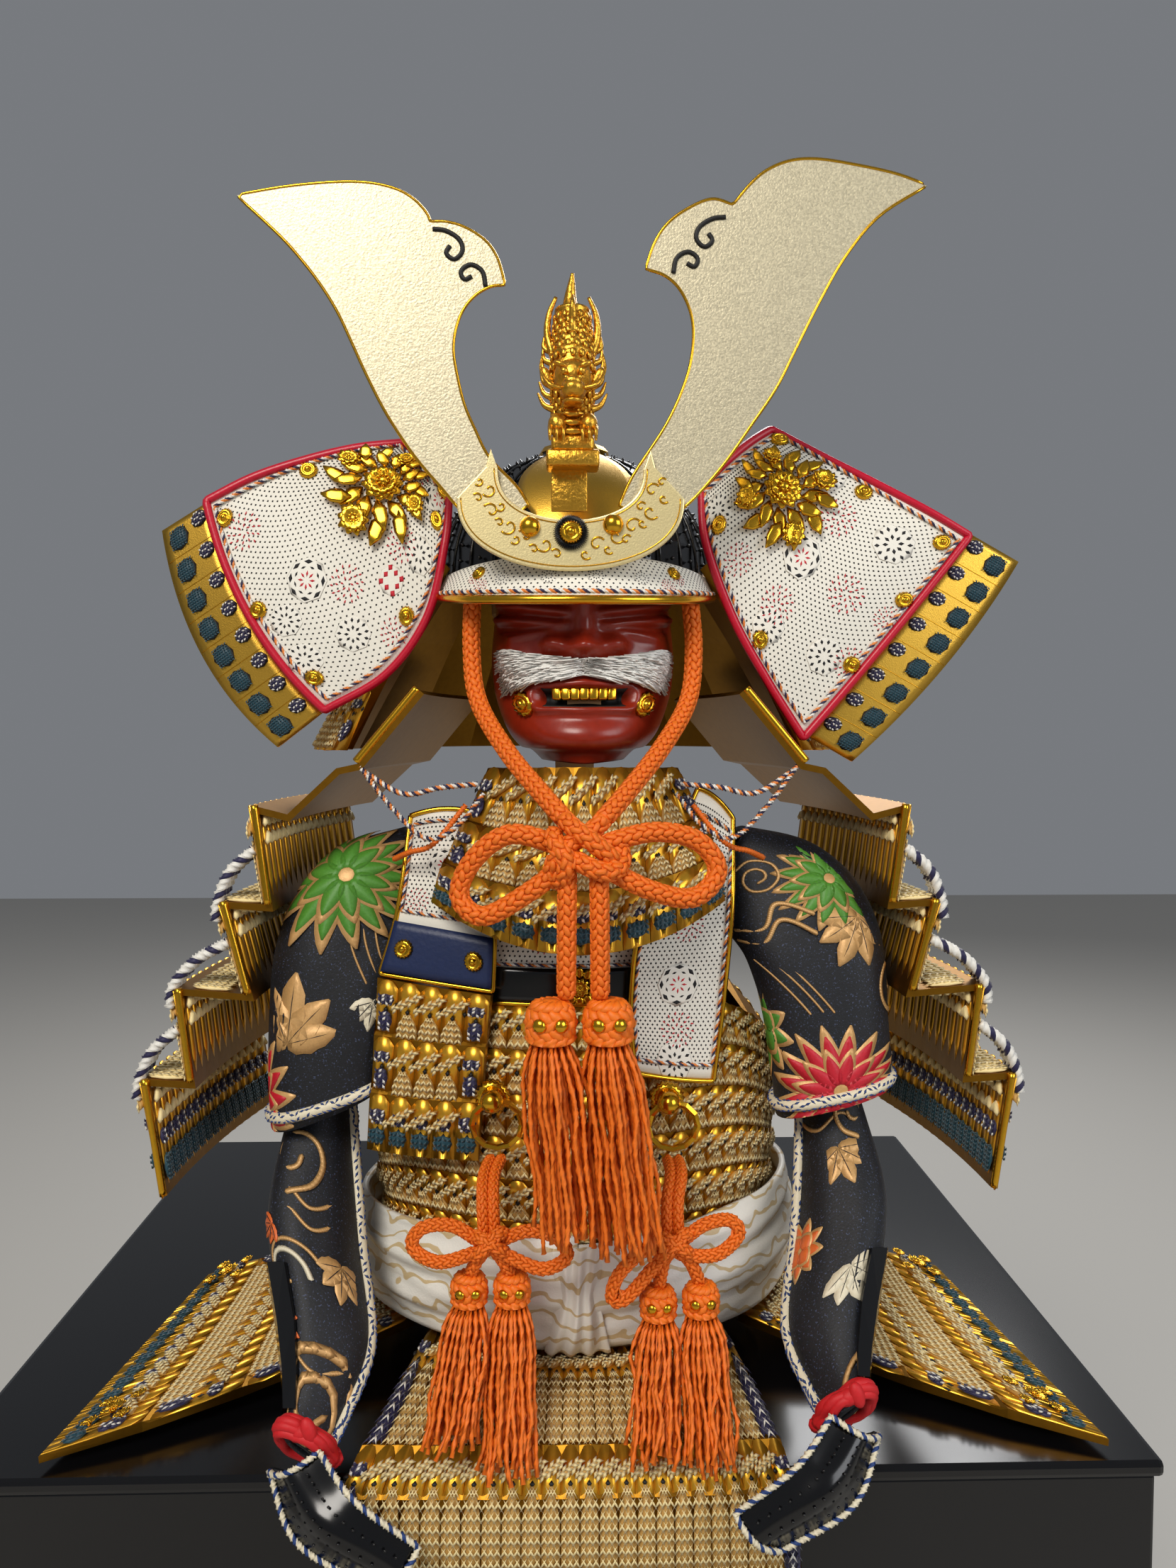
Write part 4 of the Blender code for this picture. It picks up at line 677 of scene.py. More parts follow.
# Side and back skirts. Laid out over the lid, with coloured lacing in the outer columns and teal
# blocks in the lowest row.
SKIRT_SIDE = [
    ((-56.0, 33.0, 15.2), (-69.8, 0.0, 15.4), (-56.5, -33.0, 15.2)),
    ((-86, 34.0, 13.0), (-94.0, -8.0, 10.8), (-91.0, -50.0, 8.5)),
    ((-116, 22.0, 13.0), (-120.0, -23.0, 9.0), (-126.0, -73.0, 6.5)),
    ((-140, 10.0, 12.0), (-151.0, -40.0, 7.5), (-161.0, -90.5, 4.5)),
]
SKIRT_BACK = [
    ((50, 41.5, 15.6), (0, 57.5, 16.0), (-50, 41.5, 15.6)),
    ((56, 82.0, 10.5), (0, 88.0, 11.5), (-56, 82.0, 10.5)),
    ((60, 128.0, 6.5), (0, 131.0, 8.5), (-60, 128.0, 6.5)),
    ((64, 172.0, 4.0), (0, 176.0, 5.5), (-64, 172.0, 4.0)),
]


def mirrored(sections, shift=0.0):
    """The same panel on the other side: x changes sign, and left and right swap."""
    return [tuple((shift - p[0], p[1], p[2]) for p in (s[2], s[1], s[0])) for s in sections]


laced("left_skirt_lacing", patch(SKIRT_SIDE), (0, 0, 1), 4, 15, 24.0, 6.0, coloured=1, bottom=True,
      stitch=2.3)
laced("right_skirt_lacing", patch(mirrored(SKIRT_SIDE, 0.6)), (0, 0, 1), 4, 15, 24.0, 6.0, coloured=1,
      bottom=True, stitch=2.3)
laced("back_skirt_lacing", patch(SKIRT_BACK), (0, 0, 1), 4, 20, 33.0, 6.2, coloured=1, bottom=True,
      stitch=2.8)


# Cuirass. Laced rows all round the trunk, under the sash and the two breast guards.
def cuirass_surface(u, v):
    """Flattened barrel, u once round from the front, lower under the arms."""
    turn = math.tau * u - math.pi / 2
    top = 131.0 - 24.0 * np.cos(turn) ** 6
    z = top + (17.0 - top) * v
    waist = 1.0 - 0.07 * np.exp(-((z - 34) / 24) ** 2) - 0.05 * np.maximum(0.0, (z - 100) / 31) ** 2
    return np.stack([72.0 * waist * np.cos(turn), 59.0 * waist * np.sin(turn), z], -1)


def sideways(at):
    """Outward from the trunk's axis."""
    return at * (1, 1, 0)


laced("cuirass_lacing", cuirass_surface, sideways, 8, 58, 14.2, 7.0, low=0.0, last=6, stitch=2.8)


# Throat guard. Three laced rows that hang from the mask, the lowest with ovals and teal blocks.
THROAT = [
    ((-29, -36, 207.0), (2, -58.5, 208.0), (34, -36, 207.0)),
    ((-37, -46, 190.0), (2, -70, 187.0), (42, -46, 191.0)),
    ((-43, -54, 177.0), (1, -78, 171.0), (46, -54, 180.0)),
    ((-47, -58, 165.5), (0.6, -84, 153.0), (48, -58, 165.5)),
]
laced("throat_guard_lacing", patch(THROAT), (0, -1, 0.2), 3, 11, 19.0, 8.6, coloured=1, bottom=True)


# Neck guard. Three flaring laced rows round the back of the helmet.
def neck_surface(u, v):
    """Steep cone round the back of the bowl, u -1 to 1 from the left front to the right front."""
    turn = np.radians(90 - u * 124.0)
    curve = v ** 0.92
    y = 59.8 + 32.2 * curve
    y = np.where((turn < 0) | (turn > math.pi), y * (1 - 0.45 * v), y)
    return np.stack([(52.8 + 41.2 * curve) * np.cos(turn), -2 + y * np.sin(turn), 276.0 - 62.0 * v], -1)


laced("neck_guard_lacing", neck_surface, lambda at: at - (0, 0, 250), 3, 40, 25.0, 7.9, coloured=1,
      stitch=2.3)


# Right breast guard. A leather cap over laced lames that end in ovals and teal blocks.
SENDAN_LAMES = [
    ((-65.0, -50.0, 139.4), (-46.5, -55.0, 137.4), (-27.5, -59.5, 135.4)),
    ((-67.0, -50.0, 111.0), (-49.0, -55.0, 110.0), (-30.0, -59.5, 110.0)),
    ((-69.5, -50.0, 82.0), (-51.5, -55.0, 81.0), (-32.0, -59.0, 81.0)),
]
laced("breast_guard_lacing", patch(SENDAN_LAMES), (0, -1, 0), 3, 5, 19.0, 7.6, coloured=1, bottom=True)


# Helmet wings. Turned-back panels of deerskin printed with dots and flowers, edged with red
# leather and a three-colour twisted piping, and set with gilt chrysanthemum studs.
WINGS = {
    "right": [((42.5, -33.0, 302.0), (55.0, -31, 314.5), (67.5, -26, 323.5)),
              ((43.5, -38.5, 283.0), (67.0, -36, 299.5), (86.5, -27, 313.5)),
              ((52.5, -39.7, 258.0), (79.5, -38, 279.0), (105.0, -29, 303.8)),
              ((64.5, -38.4, 237.0), (91.0, -38, 263.0), (121.5, -31, 294.7)),
              ((77.5, -35.5, 217.5), (107.0, -34, 252.0), (135.5, -30, 287.0))],
    "left": [((-58.0, -27.0, 318.0), (-50.0, -30.0, 309.5), (-42.5, -33.0, 301.0)),
             ((-74.5, -27.5, 316.0), (-61.0, -33.0, 300.5), (-43.5, -38.5, 283.0)),
             ((-92.0, -28.5, 311.5), (-76.0, -35.5, 287.0), (-49.5, -39.7, 258.0)),
             ((-109.0, -29.5, 305.5), (-93.0, -36.5, 270.0), (-63.5, -38.4, 239.0)),
             ((-124.5, -30.0, 297.5), (-109.5, -34.0, 258.5), (-84.5, -35.5, 227.0))],
}
FRONT = (0, -1, 0)


# White deerskin with a soft nap.
LEATHER = material("printed deerskin", "EDE9DC", 0.0, 0.62, 0.04, 0.05, 1800.0, 0.1)
# The same deerskin, unprinted.
PLAIN = material("plain deerskin", "F0ECE0", 0.0, 0.62, 0.05, 0.05, 1800.0, 0.15)
# Black stencil print on the deerskin.
INK = material("black print", "141418", 0.0, 0.7)
# Red stencil print on the deerskin.
PINK = material("red print", "C81E30", 0.0, 0.7)
# Smooth red leather that binds the wings' edges.
RED_LEATHER = material("red edging leather", "C1082C", 0.0, 0.35, 0.12, 0.06, 900.0)
# The third colour of the twisted piping.
ORANGE_THREAD = material("orange piping thread", "E8883A", 0.0, 0.55)


def shell(name, surface, way, columns, rows, thick, paint, closed=False, lift=0.0):
    """A smooth panel over a surface with a wall of real thickness behind it."""
    made = bmesh.new()
    bmesh.ops.create_grid(made, x_segments=columns, y_segments=rows, size=1.0, calc_uvs=True)
    u = np.array([v.co.x for v in made.verts])
    v = np.array([0.5 - 0.5 * v.co.y for v in made.verts])
    if closed:
        u = (u + 1) / 2
    raised = lift(u, v) if callable(lift) else lift + 0 * u
    for vert, at in zip(made.verts, on(surface, u, v, raised, way)):
        vert.co = (at + (0, 0, LID_TOP)) * MM
    if closed:
        bmesh.ops.remove_doubles(made, verts=made.verts, dist=1e-6)
    bmesh.ops.recalc_face_normals(made, faces=made.faces)
    face = made.faces[len(made.faces) // 2]
    towards = way((np.array(face.calc_center_median()) / MM
                   - (0, 0, LID_TOP))[None])[0] if callable(way) else way
    if face.normal.dot(towards) < 0:
        bmesh.ops.reverse_faces(made, faces=made.faces)
    bmesh.ops.solidify(made, geom=made.faces, thickness=thick * MM)
    bmesh.ops.recalc_face_normals(made, faces=made.faces)
    mesh = bpy.data.meshes.new(name)
    made.to_mesh(mesh)
    made.free()
    mesh.shade_smooth()
    mesh.materials.append(paint)
    return finished(bpy.data.objects.new(name, mesh))


def flower(kind, radius):
    """A printed medallion: a clear white disc with petals or dashes laid on it."""
    parts = []
    if kind != "dashes":
        parts.append(moved(grain(radius * 2.5, radius * 2.5, 0.16, 20, 4, 0)))
    if kind == "petals":
        for k in range(8):
            turn = math.tau * k / 8
            parts.append(moved(grain(radius * 0.24, radius * 0.62, 0.34, 5, 2, 1),
                               (radius * math.cos(turn), radius * math.sin(turn), 0.06),
                               turn + math.pi / 2))
            parts.append(moved(grain(radius * 0.13, radius * 0.38, 0.30, 5, 2, 1),
                               (radius * 0.72 * math.cos(turn + 0.39),
                                radius * 0.72 * math.sin(turn + 0.39), 0.06),
                               turn + 0.39 + math.pi / 2))
            parts.append(moved(grain(radius * 0.36, radius * 0.15, 0.34, 5, 2, 2),
                               (radius * 0.36 * math.cos(turn), radius * 0.36 * math.sin(turn), 0.08),
                               turn - math.pi / 2))
    if kind == "wheel":
        for ring, count, long in ((0.45, 8, 0.36), (0.95, 13, 0.34)):
            for k in range(count):
                turn = math.tau * k / count
                parts.append(moved(grain(radius * long, radius * 0.24, 0.34, 5, 2, 1),
                                   (radius * ring * math.cos(turn),
                                    radius * ring * math.sin(turn), 0.06),
                                   turn - math.pi / 2))
    if kind == "dashes":
        for ring, count in ((0.35, 6), (0.72, 10), (1.08, 14)):
            for k in range(count):
                turn = math.tau * (k + ring) / count
                parts.append(moved(grain(radius * 0.30, radius * 0.12, 0.30, 5, 2, 2),
                                   (radius * ring * math.cos(turn),
                                    radius * ring * math.sin(turn), 0.05),
                                   turn - math.pi / 2 + 0.3))
    if kind == "square":
        for i in range(3):
            for j in range(3):
                if (i, j) != (1, 1):
                    parts.append(moved(grain(radius * 0.62, radius * 0.62, 0.34, 5, 2, 2),
                                       ((i - 1) * radius * 0.72, (j - 1) * radius * 0.72, 0.05)))
    return merged(parts)


def stud(radius=2.6, petals=16, slot=0):
    """A chrysanthemum stud: a ring of petals round a stepped boss."""
    made = bmesh.new()
    bmesh.ops.create_grid(made, x_segments=petals * 2, y_segments=7, size=0.5)
    profile = ((0.0, 1.0), (0.16, 1.0), (0.30, 0.82), (0.36, 0.50), (0.52, 0.46), (0.60, 0.62),
               (0.86, 0.42), (1.0, 0.0))
    for vert in made.verts:
        turn, ring = math.tau * (vert.co.x + 0.5), int(round((vert.co.y + 0.5) * 7))
        out, high = profile[ring]
        wave = math.cos(petals * turn)
        out = out * (1 + (0.05 * wave if ring > 4 else 0))
        high = high + (0.10 * wave if ring in (5, 6) else 0)
        vert.co = (radius * out * math.cos(turn), radius * out * math.sin(turn), radius * 0.62 * high)
    bmesh.ops.remove_doubles(made, verts=made.verts, dist=1e-4)
    bmesh.ops.holes_fill(made, edges=made.edges, sides=petals * 2)
    return shape_of(made, slot)


def border(surface, inset, corners, steps=40, lift=1.0, way=FRONT):
    """An even line of points round a panel, inset from its edges, through (u, v) corners."""
    marks = []
    for (u0, v0), (u1, v1) in zip(corners, corners[1:]):
        t = np.linspace(0, 1, steps)[:-1]
        marks.append(np.stack([u0 + (u1 - u0) * t, v0 + (v1 - v0) * t], 1))
    marks = np.concatenate(marks + [np.array(corners[-1:], float)])
    line = on(surface, marks[:, 0] * (1 - inset), 0.5 + (marks[:, 1] - 0.5) * (1 - inset),
              lift + 0 * marks[:, 0], way)
    run = np.concatenate([[0], np.cumsum(np.linalg.norm(np.diff(line, axis=0), axis=1))])
    want = np.linspace(0, run[-1], max(8, int(run[-1] / 0.9)))
    return np.stack([np.interp(want, run, line[:, k]) for k in range(3)], 1)


def pipe(line, radius, sides=6):
    """A smooth round cord or roll along a line, with closed ends."""
    surface = tube(line, radius)
    return skin(surface, from_line(line), sides, len(line), True, ends=True)


def dots(surface, way, pitch=1.7, u_end=0.90, v_low=0.05, v_high=0.95):
    """A staggered field of small printed dots; pitch is their distance in millimetres."""
    at = surface(np.array([-1.0, 1.0, 0.0, 0.0]), np.array([0.5, 0.5, 0.0, 1.0]))
    columns = int(np.linalg.norm(at[1] - at[0]) * u_end / pitch)
    rows = int(np.linalg.norm(at[3] - at[2]) * (v_high - v_low) / pitch * 1.15)
    i, j = np.meshgrid(np.arange(columns), np.arange(rows))
    u = (-1 + 2 * (i + 0.25 + 0.5 * (j % 2)) / columns) * u_end
    v = v_low + (v_high - v_low) * (j + 0.5) / rows
    return strew(grain(0.88, 0.80, 0.24, 4, 2, 1), surface, way, u.ravel(), v.ravel())


PRINTS = {"left": [("petals", 3.4, 0.05, 0.72), ("dashes", 3.0, -0.62, 0.86), ("dashes", 3.0, 0.32, 0.62),
                   ("wheel", 2.8, 0.62, 0.72), ("wheel", 2.8, 0.55, 0.92), ("square", 2.2, 0.60, 0.50),
                   ("wheel", 2.8, 0.72, 0.36), ("dashes", 2.8, 0.50, 0.38), ("dashes", 2.6, -0.05, 0.06),
                   ("petals", 2.8, 0.72, 0.10), ("wheel", 2.6, 0.20, 0.88), ("dashes", 2.4, 0.85, 0.62)],
          "right": [("petals", 3.4, -0.10, 0.48), ("dashes", 3.2, 0.45, 0.46), ("wheel", 3.4, 0.62, 0.72),
                    ("dashes", 3.0, -0.55, 0.56), ("dashes", 3.2, 0.05, 0.72), ("wheel", 3.0, -0.45, 0.84),
                    ("wheel", 2.6, -0.75, 0.16), ("wheel", 2.6, 0.75, 0.32), ("dashes", 2.6, -0.72, 0.36),
                    ("dashes", 2.8, -0.35, 0.94), ("wheel", 2.8, -0.72, 0.60), ("dashes", 2.4, 0.10, 0.94)]}
STUDS = {"left": [(-0.80, 0.93), (-0.84, 0.50), (0.0, 0.955), (0.72, 0.94), (0.86, 0.55), (0.80, 0.20),
                  (0.78, 0.03)],
         "right": [(0.84, 0.06), (0.84, 0.46), (0.84, 0.90), (0.30, 0.94), (-0.35, 0.95), (-0.86, 0.62),
                   (-0.80, 0.22)]}
PIPING = (0, 1, 2)
for side, sections in WINGS.items():
    surface = patch(sections)
    panel = shell("wing_leather_" + side, surface, FRONT, 28, 28, 2.4, LEATHER)
    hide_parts("wing_" + side)
    parts = [dots(surface, FRONT)]
    for kind, radius, u, v in PRINTS[side]:
        parts.append(strew(flower(kind, radius * 1.75), surface, FRONT, u, v, lift=0.12))
    piece("wing_print_" + side, parts, [PLAIN, INK, PINK])
    around = [(-1, 0), (1, 0), (1, 1), (-1, 1), (-1, 0)]
    roll = border(surface, 0.0, around, lift=0.1)
    piece("wing_edge_" + side, [pipe(roll, 1.5)], [RED_LEATHER])
    line = border(surface, 0.075, around, lift=0.55)
    piece("wing_piping_" + side, [rope(line, 0.85, 3, 4.2, PIPING)], [WHITE, NAVY, ORANGE_THREAD])
    gilt = [strew(stud(3.1), surface, FRONT, u, v, lift=0.3) for u, v in STUDS[side]]
    piece("wing_studs_" + side, gilt, [GILT])


# Peony mounts. Cast and gilt openwork: a full flower with smaller ones and leaves round it.
def petal(long, wide, high, tip=1.0, slot=0):
    """A cupped petal or leaf with a raised rim and a sunk midrib; its foot is at the origin."""
    made = bmesh.new()
    bmesh.ops.create_grid(made, x_segments=4, y_segments=3, size=0.5)
    for vert in made.verts:
        a, t = vert.co.x * 2, vert.co.y + 0.5
        half = wide / 2 * math.sin(math.pi * min(0.98, max(0.04, t ** 0.8))) ** (0.6 * tip)
        vert.co = (a * half, t * long, high * (0.25 + 0.75 * t) * (0.6 + 0.4 * abs(a)) + 0.35 * (1 - a * a))
    made.normal_update()
    walled(made, 0.35)
    return shape_of(made, slot)


def bloom(radius, rings=3):
    """An open flower of cupped petals round a beaded heart."""
    parts = [moved(grain(radius * 0.5, radius * 0.5, radius * 0.5, 10, 6), (0, 0, radius * 0.25))]
    for k in range(8):
        turn = math.tau * k / 8
        parts.append(moved(grain(0.8, 0.8, 0.8, 4, 3),
                           (radius * 0.2 * math.cos(turn), radius * 0.2 * math.sin(turn),
                                                        radius * 0.45)))
    for ring in range(rings):
        count = 9 + ring
        reach = radius * (0.55 + 0.5 * (ring + 1) / rings) * 0.75
        blade = petal(reach, radius * 0.62, radius * 0.30 * (1 - ring / rings) + 0.3)
        for k in range(count):
            parts.append(moved(blade, (0, 0, 0.9 - 0.35 * ring), math.tau * (k + 0.5 * (ring % 2)) / count))
    return merged(parts)


for side, (u, v, turn) in {"left": (-0.18, 0.26, 0.5), "right": (0.12, 0.25, -0.4)}.items():
    surface = patch(WINGS[side])
    parts = [bloom(5.6)]
    for x, y, r in ((-6.5, -6.0, 3.2), (6.8, -5.5, 3.0), (6.2, 6.8, 3.4), (-6.5, 6.4, 3.0)):
        parts.append(moved(bloom(r, 2), (x, y, 0.2)))
    leaf = petal(5.4, 3.0, 0.9, 1.4)
    for k in range(26):
        angle = math.tau * k / 26
        ring = 5.4 + 3.2 * (k % 2)
        parts.append(moved(leaf, (ring * 0.8 * math.cos(angle), ring * 0.8 * math.sin(angle),
                                  0.25 + 0.3 * (k % 3)),
                           angle - math.pi / 2 + (0.5 if k % 2 else -0.5)))
    mount = piece("peony_" + side, [strew(moved(merged(parts), size=(1.55, 1.55, 1.2)), surface, FRONT,
                                          u, v, turn=turn, lift=0.6)], [GILT])
    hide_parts("peony_mount_" + side)


# Gilt strips outside the wings. The upturned ends of the top neck row, with navy and white ovals
# and a column of teal blocks.
STRIPS = {
    "right": [((136.6, -26.4, 288.4), (108.5, -30.4, 253.0), (79.5, -32.1, 218.5)),
              ((155.0, -24.0, 279.0), (128.5, -27.5, 242.5), (95.5, -31.0, 209.5))],
    "left": [((-125.2, -27.1, 297.6), (-110.2, -31.2, 257.7), (-85.7, -32.8, 226.4)),
             ((-141.5, -24.0, 288.5), (-128.0, -27.5, 246.5), (-101.5, -31.0, 214.5))],
}
# Gilt sheet with a fine matt grain.
SANDED = material("sanded gilt", "DDAE45", 1.0, 0.36, 0.10, 0.06, 2400.0)
for side, sections in STRIPS.items():
    surface = patch(sections)
    strip = shell("strip_plate_" + side, surface, FRONT, 40, 6, 1.8, SANDED)
    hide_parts("wing_strip_" + side)
    u = -1 + (np.arange(8) + 0.5) / 4
    block = bar(1.0, 1.0, 7.0, 6.4, 0.0, 0.0, (3,), 1.0)
    oval = bar(1.0, 1.0, 4.6, 5.6, 0.0, 0.0, (4, 5), 1.0)
    # Each block and oval sits on a near-black disc: painted shade of its hole.
    rim = merged([moved(grain(8.0, 8.4, 0.5, 10, 4, 1)), block])
    rim_oval = merged([moved(grain(6.6, 5.6, 0.5, 10, 4, 1)), oval])
    parts = [strew(rim, surface, FRONT, u, 0.68, lift=0.2),
             strew(rim_oval, surface, FRONT, u - 0.05, 0.22, lift=0.2)]
    seams = []
    for k in range(1, 8):
        line = on(surface, np.full(8, -1 + k / 4), np.linspace(0.02, 0.98, 8), np.full(8, 0.05), FRONT)
        seams.append(pipe(line, 0.14, 5))
    piece("strip_lacing_" + side, parts, ROW_PAINTS)
    piece("strip_seams_" + side, seams, [GILT])


# Horns. Two sheets of pale sanded gilt with polished edges, and two curled slits at each notch.
FROSTED = material("frosted pale gilt", "D0C6A8", 0.85, 0.46, 0.5, 0.12, 1500.0)
HORNS = {
    "right": [(21.0, 284.0), (32.0, 288.5), (44.0, 301.0), (54.3, 315.3), (61.5, 326.0), (67.0, 337.0),
              (74.5, 352.0), (82.5, 366.0), (93.0, 378.5), (107.8, 387.8), (98.0, 391.2), (85.0, 393.8),
              (74.0, 395.3), (65.7, 394.8), (58.5, 392.0), (53.0, 387.5), (47.8, 381.3), (41.5, 383.0),
              (34.6, 380.4), (28.0, 375.8), (23.7, 369.7), (20.9, 361.8), (27.0, 359.8), (31.8, 355.4),
              (35.2, 347.8), (35.7, 339.0), (33.6, 328.5), (27.6, 314.9), (17.5, 299.5), (13.0, 290.0)],
    "left": [(-23.0, 284.0), (-34.0, 286.8), (-42.4, 295.7), (-48.9, 303.2), (-54.3, 310.7), (-59.6, 319.3),
             (-64.9, 329.9), (-69.2, 339.5), (-73.4, 348.4), (-78.7, 356.8), (-85.0, 364.8), (-91.3, 371.5),
             (-103.4, 382.5), (-89.0, 385.1), (-75.1, 386.6), (-64.4, 386.7), (-55.8, 385.1),
             (-50.1, 382.2),
             (-46.2, 378.3), (-44.7, 375.3), (-39.4, 375.2), (-33.8, 373.5), (-28.0, 369.8), (-24.3, 364.5),
             (-22.0, 356.5), (-26.5, 356.0), (-31.3, 353.2), (-35.0, 348.7), (-37.2, 342.9), (-37.9, 336.5),
             (-36.8, 329.1), (-34.7, 320.5), (-31.5, 313.0), (-27.1, 304.4), (-19.0, 296.0),
             (-15.0, 290.0)],
}
SHARP = {"right": (0, 9, 16, 21, 29), "left": (0, 12, 19, 24, 35)}
HORN_FRONT = -66.9


def rounded_outline(corners, sharp, steps=5):
    """Smooth outline through the corners that keeps the sharp ones."""
    made, count = [], len(corners)
    marks = sorted(sharp) + [sorted(sharp)[0] + count]
    for a, b in zip(marks, marks[1:]):
        run = [corners[i % count] for i in range(a, b + 1)]
        made += [tuple(p) for p in spline(np.array(run),
                                          np.linspace(0, 1, (len(run) - 1) * steps + 1))[:-1]]
    return made


def sheet_metal(outline, front, thick, bevel):
    """A cut plate facing the front, from (x, z) points, with bevelled edges."""
    made = bmesh.new()
    face = made.faces.new([made.verts.new((x, front, z)) for x, z in outline])
    grown = bmesh.ops.extrude_face_region(made, geom=[face])["geom"]
    bmesh.ops.translate(made, vec=(0, thick, 0),
                        verts=[g for g in grown if isinstance(g, bmesh.types.BMVert)])
    bmesh.ops.recalc_face_normals(made, faces=made.faces)
    ends = [f for f in made.faces if len(f.verts) > 4]
    rim = list({e for f in ends for e in f.edges})
    bmesh.ops.bevel(made, geom=rim, offset=bevel, segments=2, profile=0.5, affect="EDGES", material=-1)
    return made


for side, corners in HORNS.items():
    outline = rounded_outline(corners, SHARP[side])
    parts = [shape_of(sheet_metal(outline, HORN_FRONT, 1.6, 0.45))]
    sign = 1 if side == "right" else -1
    x, z = (38.5, 369.5) if side == "right" else (-37.0, 365.0)
    curl = [(x + sign * 7.0, z + 8.0), (x + sign * 3.0, z + 7.5), (x - sign * 1.0, z + 5.0),
            (x - sign * 2.0, z + 1.5),
            (x + sign * 0.5, z - 1.0), (x + sign * 3.0, z + 0.8), (x + sign * 1.8, z + 3.0)]
    curl_low = [(x - sign * 9.0, z - 9.0), (x - sign * 8.0, z - 4.5), (x - sign * 4.5, z - 2.5),
                (x - sign * 1.5, z - 4.5),
                (x - sign * 2.5, z - 7.0), (x - sign * 4.8, z - 6.0)]
    # The curled slits are near-black pipes: painted shade inside the cuts.
    slits = []
    for keys in (curl, curl_low):
        line = even([(px, HORN_FRONT - 0.05, pz) for px, pz in keys], 26)[0]
        slits.append(pipe(line, 0.75, 6))
    horn = piece("frosted_horn_" + side, parts, [FROSTED], smooth=False)
    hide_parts("horn_" + side)
    piece("horn_slits_" + side, slits, [PAINTED_HOLE_SHADE])
    line = np.array([(px, HORN_FRONT + 0.15, pz) for px, pz in outline + outline[:1]])
    piece("horn_rim_" + side, [pipe(line, 0.5, 6)], [GILT])


# Visor. A brim of printed deerskin, piped near its front edge and bound with a gilt roll, with
# two small chrysanthemum studs.
def visor_surface(u, v):
    """Brim that hugs the bowl's front rim and slopes down and forward; u is -1 to 1."""
    turn = u * math.radians(58)
    reach = 2.8 + 11.5 * v * np.cos(turn * 1.25)
    z = 276.0 - 4.0 * u * u + (-15.5 + 8.5 * u * u) * np.maximum(v, 0) ** 1.15
    return np.stack([(49.0 + reach) * np.sin(turn), -2.0 - (56.0 + reach) * np.cos(turn), z], -1)


OUT_DOWN = (0, -1, 0.3)
brim = shell("visor_leather", visor_surface, OUT_DOWN, 56, 10, 2.2, LEATHER)
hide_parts("visor")
parts = [dots(visor_surface, OUT_DOWN, 1.6, 0.93, 0.04, 0.80),
         strew(flower("wheel", 2.3), visor_surface, OUT_DOWN, np.array([-0.42, -0.15, 0.10, 0.36]),
               0.55, lift=0.05),
         strew(flower("dashes", 2.4), visor_surface, OUT_DOWN, np.array([-0.62, -0.55, 0.62, 0.52]),
               np.array([0.45, 0.72, 0.48, 0.70]), lift=0.05)]
piece("visor_print", parts, [PLAIN, INK, PINK])
u = np.linspace(-0.985, 0.985, 160)
line = on(visor_surface, u, 0.86 + 0 * u, 0.4 + 0 * u, OUT_DOWN)
piece("visor_piping", [rope(line, 0.9, 3, 4.4, PIPING)], [WHITE, NAVY, ORANGE_THREAD])
line = on(visor_surface, u, 0.985 + 0 * u, -0.6 + 0 * u, OUT_DOWN)
piece("visor_roll", [pipe(line, 1.5, 10)], [GILT])
piece("visor_studs", [strew(stud(2.5), visor_surface, OUT_DOWN, np.array([-0.60, 0.60]), 0.36,
                            lift=0.1)], [GILT])


# Bowl. Black lacquered plates with raised ribs and rows of pointed rivets, a gilt plate on the
# front and a gilt ring round the crown.
IRON = material("black lacquered iron", "0A0A0C", 0.0, 0.22)


def bowl_surface(u, v):
    """The helmet's bowl: u once round from the front, v from the crown down."""
    turn, polar = math.tau * u - math.pi / 2, np.radians(10 + 80 * v)
    return np.stack([49.0 * np.sin(polar) * np.cos(turn), -2 + 56.0 * np.sin(polar) * np.sin(turn),
                     270.0 + 48.0 * np.maximum(np.cos(polar), 1e-6) ** 0.9], -1)


def from_head(at):
    """Outward from the middle of the head."""
    return at - (0, 0, 265)


ribs = []
spike = merged([moved(grain(1.5, 1.5, 2.6, 4, 2))])
for k in range(32):
    v = np.linspace(0.06, 0.96, 12)
    line = on(bowl_surface, np.full(12, k / 32), v, np.full(12, 0.5), from_head)
    ribs.append(pipe(line, 0.55, 6))
    v = np.linspace(0.12, 0.92, 12)
    ribs.append(strew(spike, bowl_surface, from_head, np.full(12, (k + 0.5) / 32), v, lift=0.9))
piece("bowl_ribs", ribs, [IRON])
shell("bowl_front_plate",
      lambda u, v: bowl_surface(u * 0.075 * np.sin(math.pi * np.clip(v, .12, .88)) ** 0.5,
                                0.20 + 0.62 * v),
      from_head, 14, 14, 0.8, SANDED, lift=2.6)
# Gilt casting, chased all over.
BUMPY_GOLD = material("chased gilt", "DDA63C", 1.0, 0.32, 0.25, 0.25, 900.0)
k = np.arange(18)
crown = tube(np.array([(0, -2, 319.6), (0, -2, 320.6)], float), 10.5)
leaves = strew(petal(4.2, 2.6, 0.8),
               lambda u, v: on(crown, u, v, 0 * u, lambda at: at - (0, -2, 320)),
               lambda at: at - (0, -2, 320), k / 18, 0.5)
piece("crown_leaves", [leaves], [GILT])


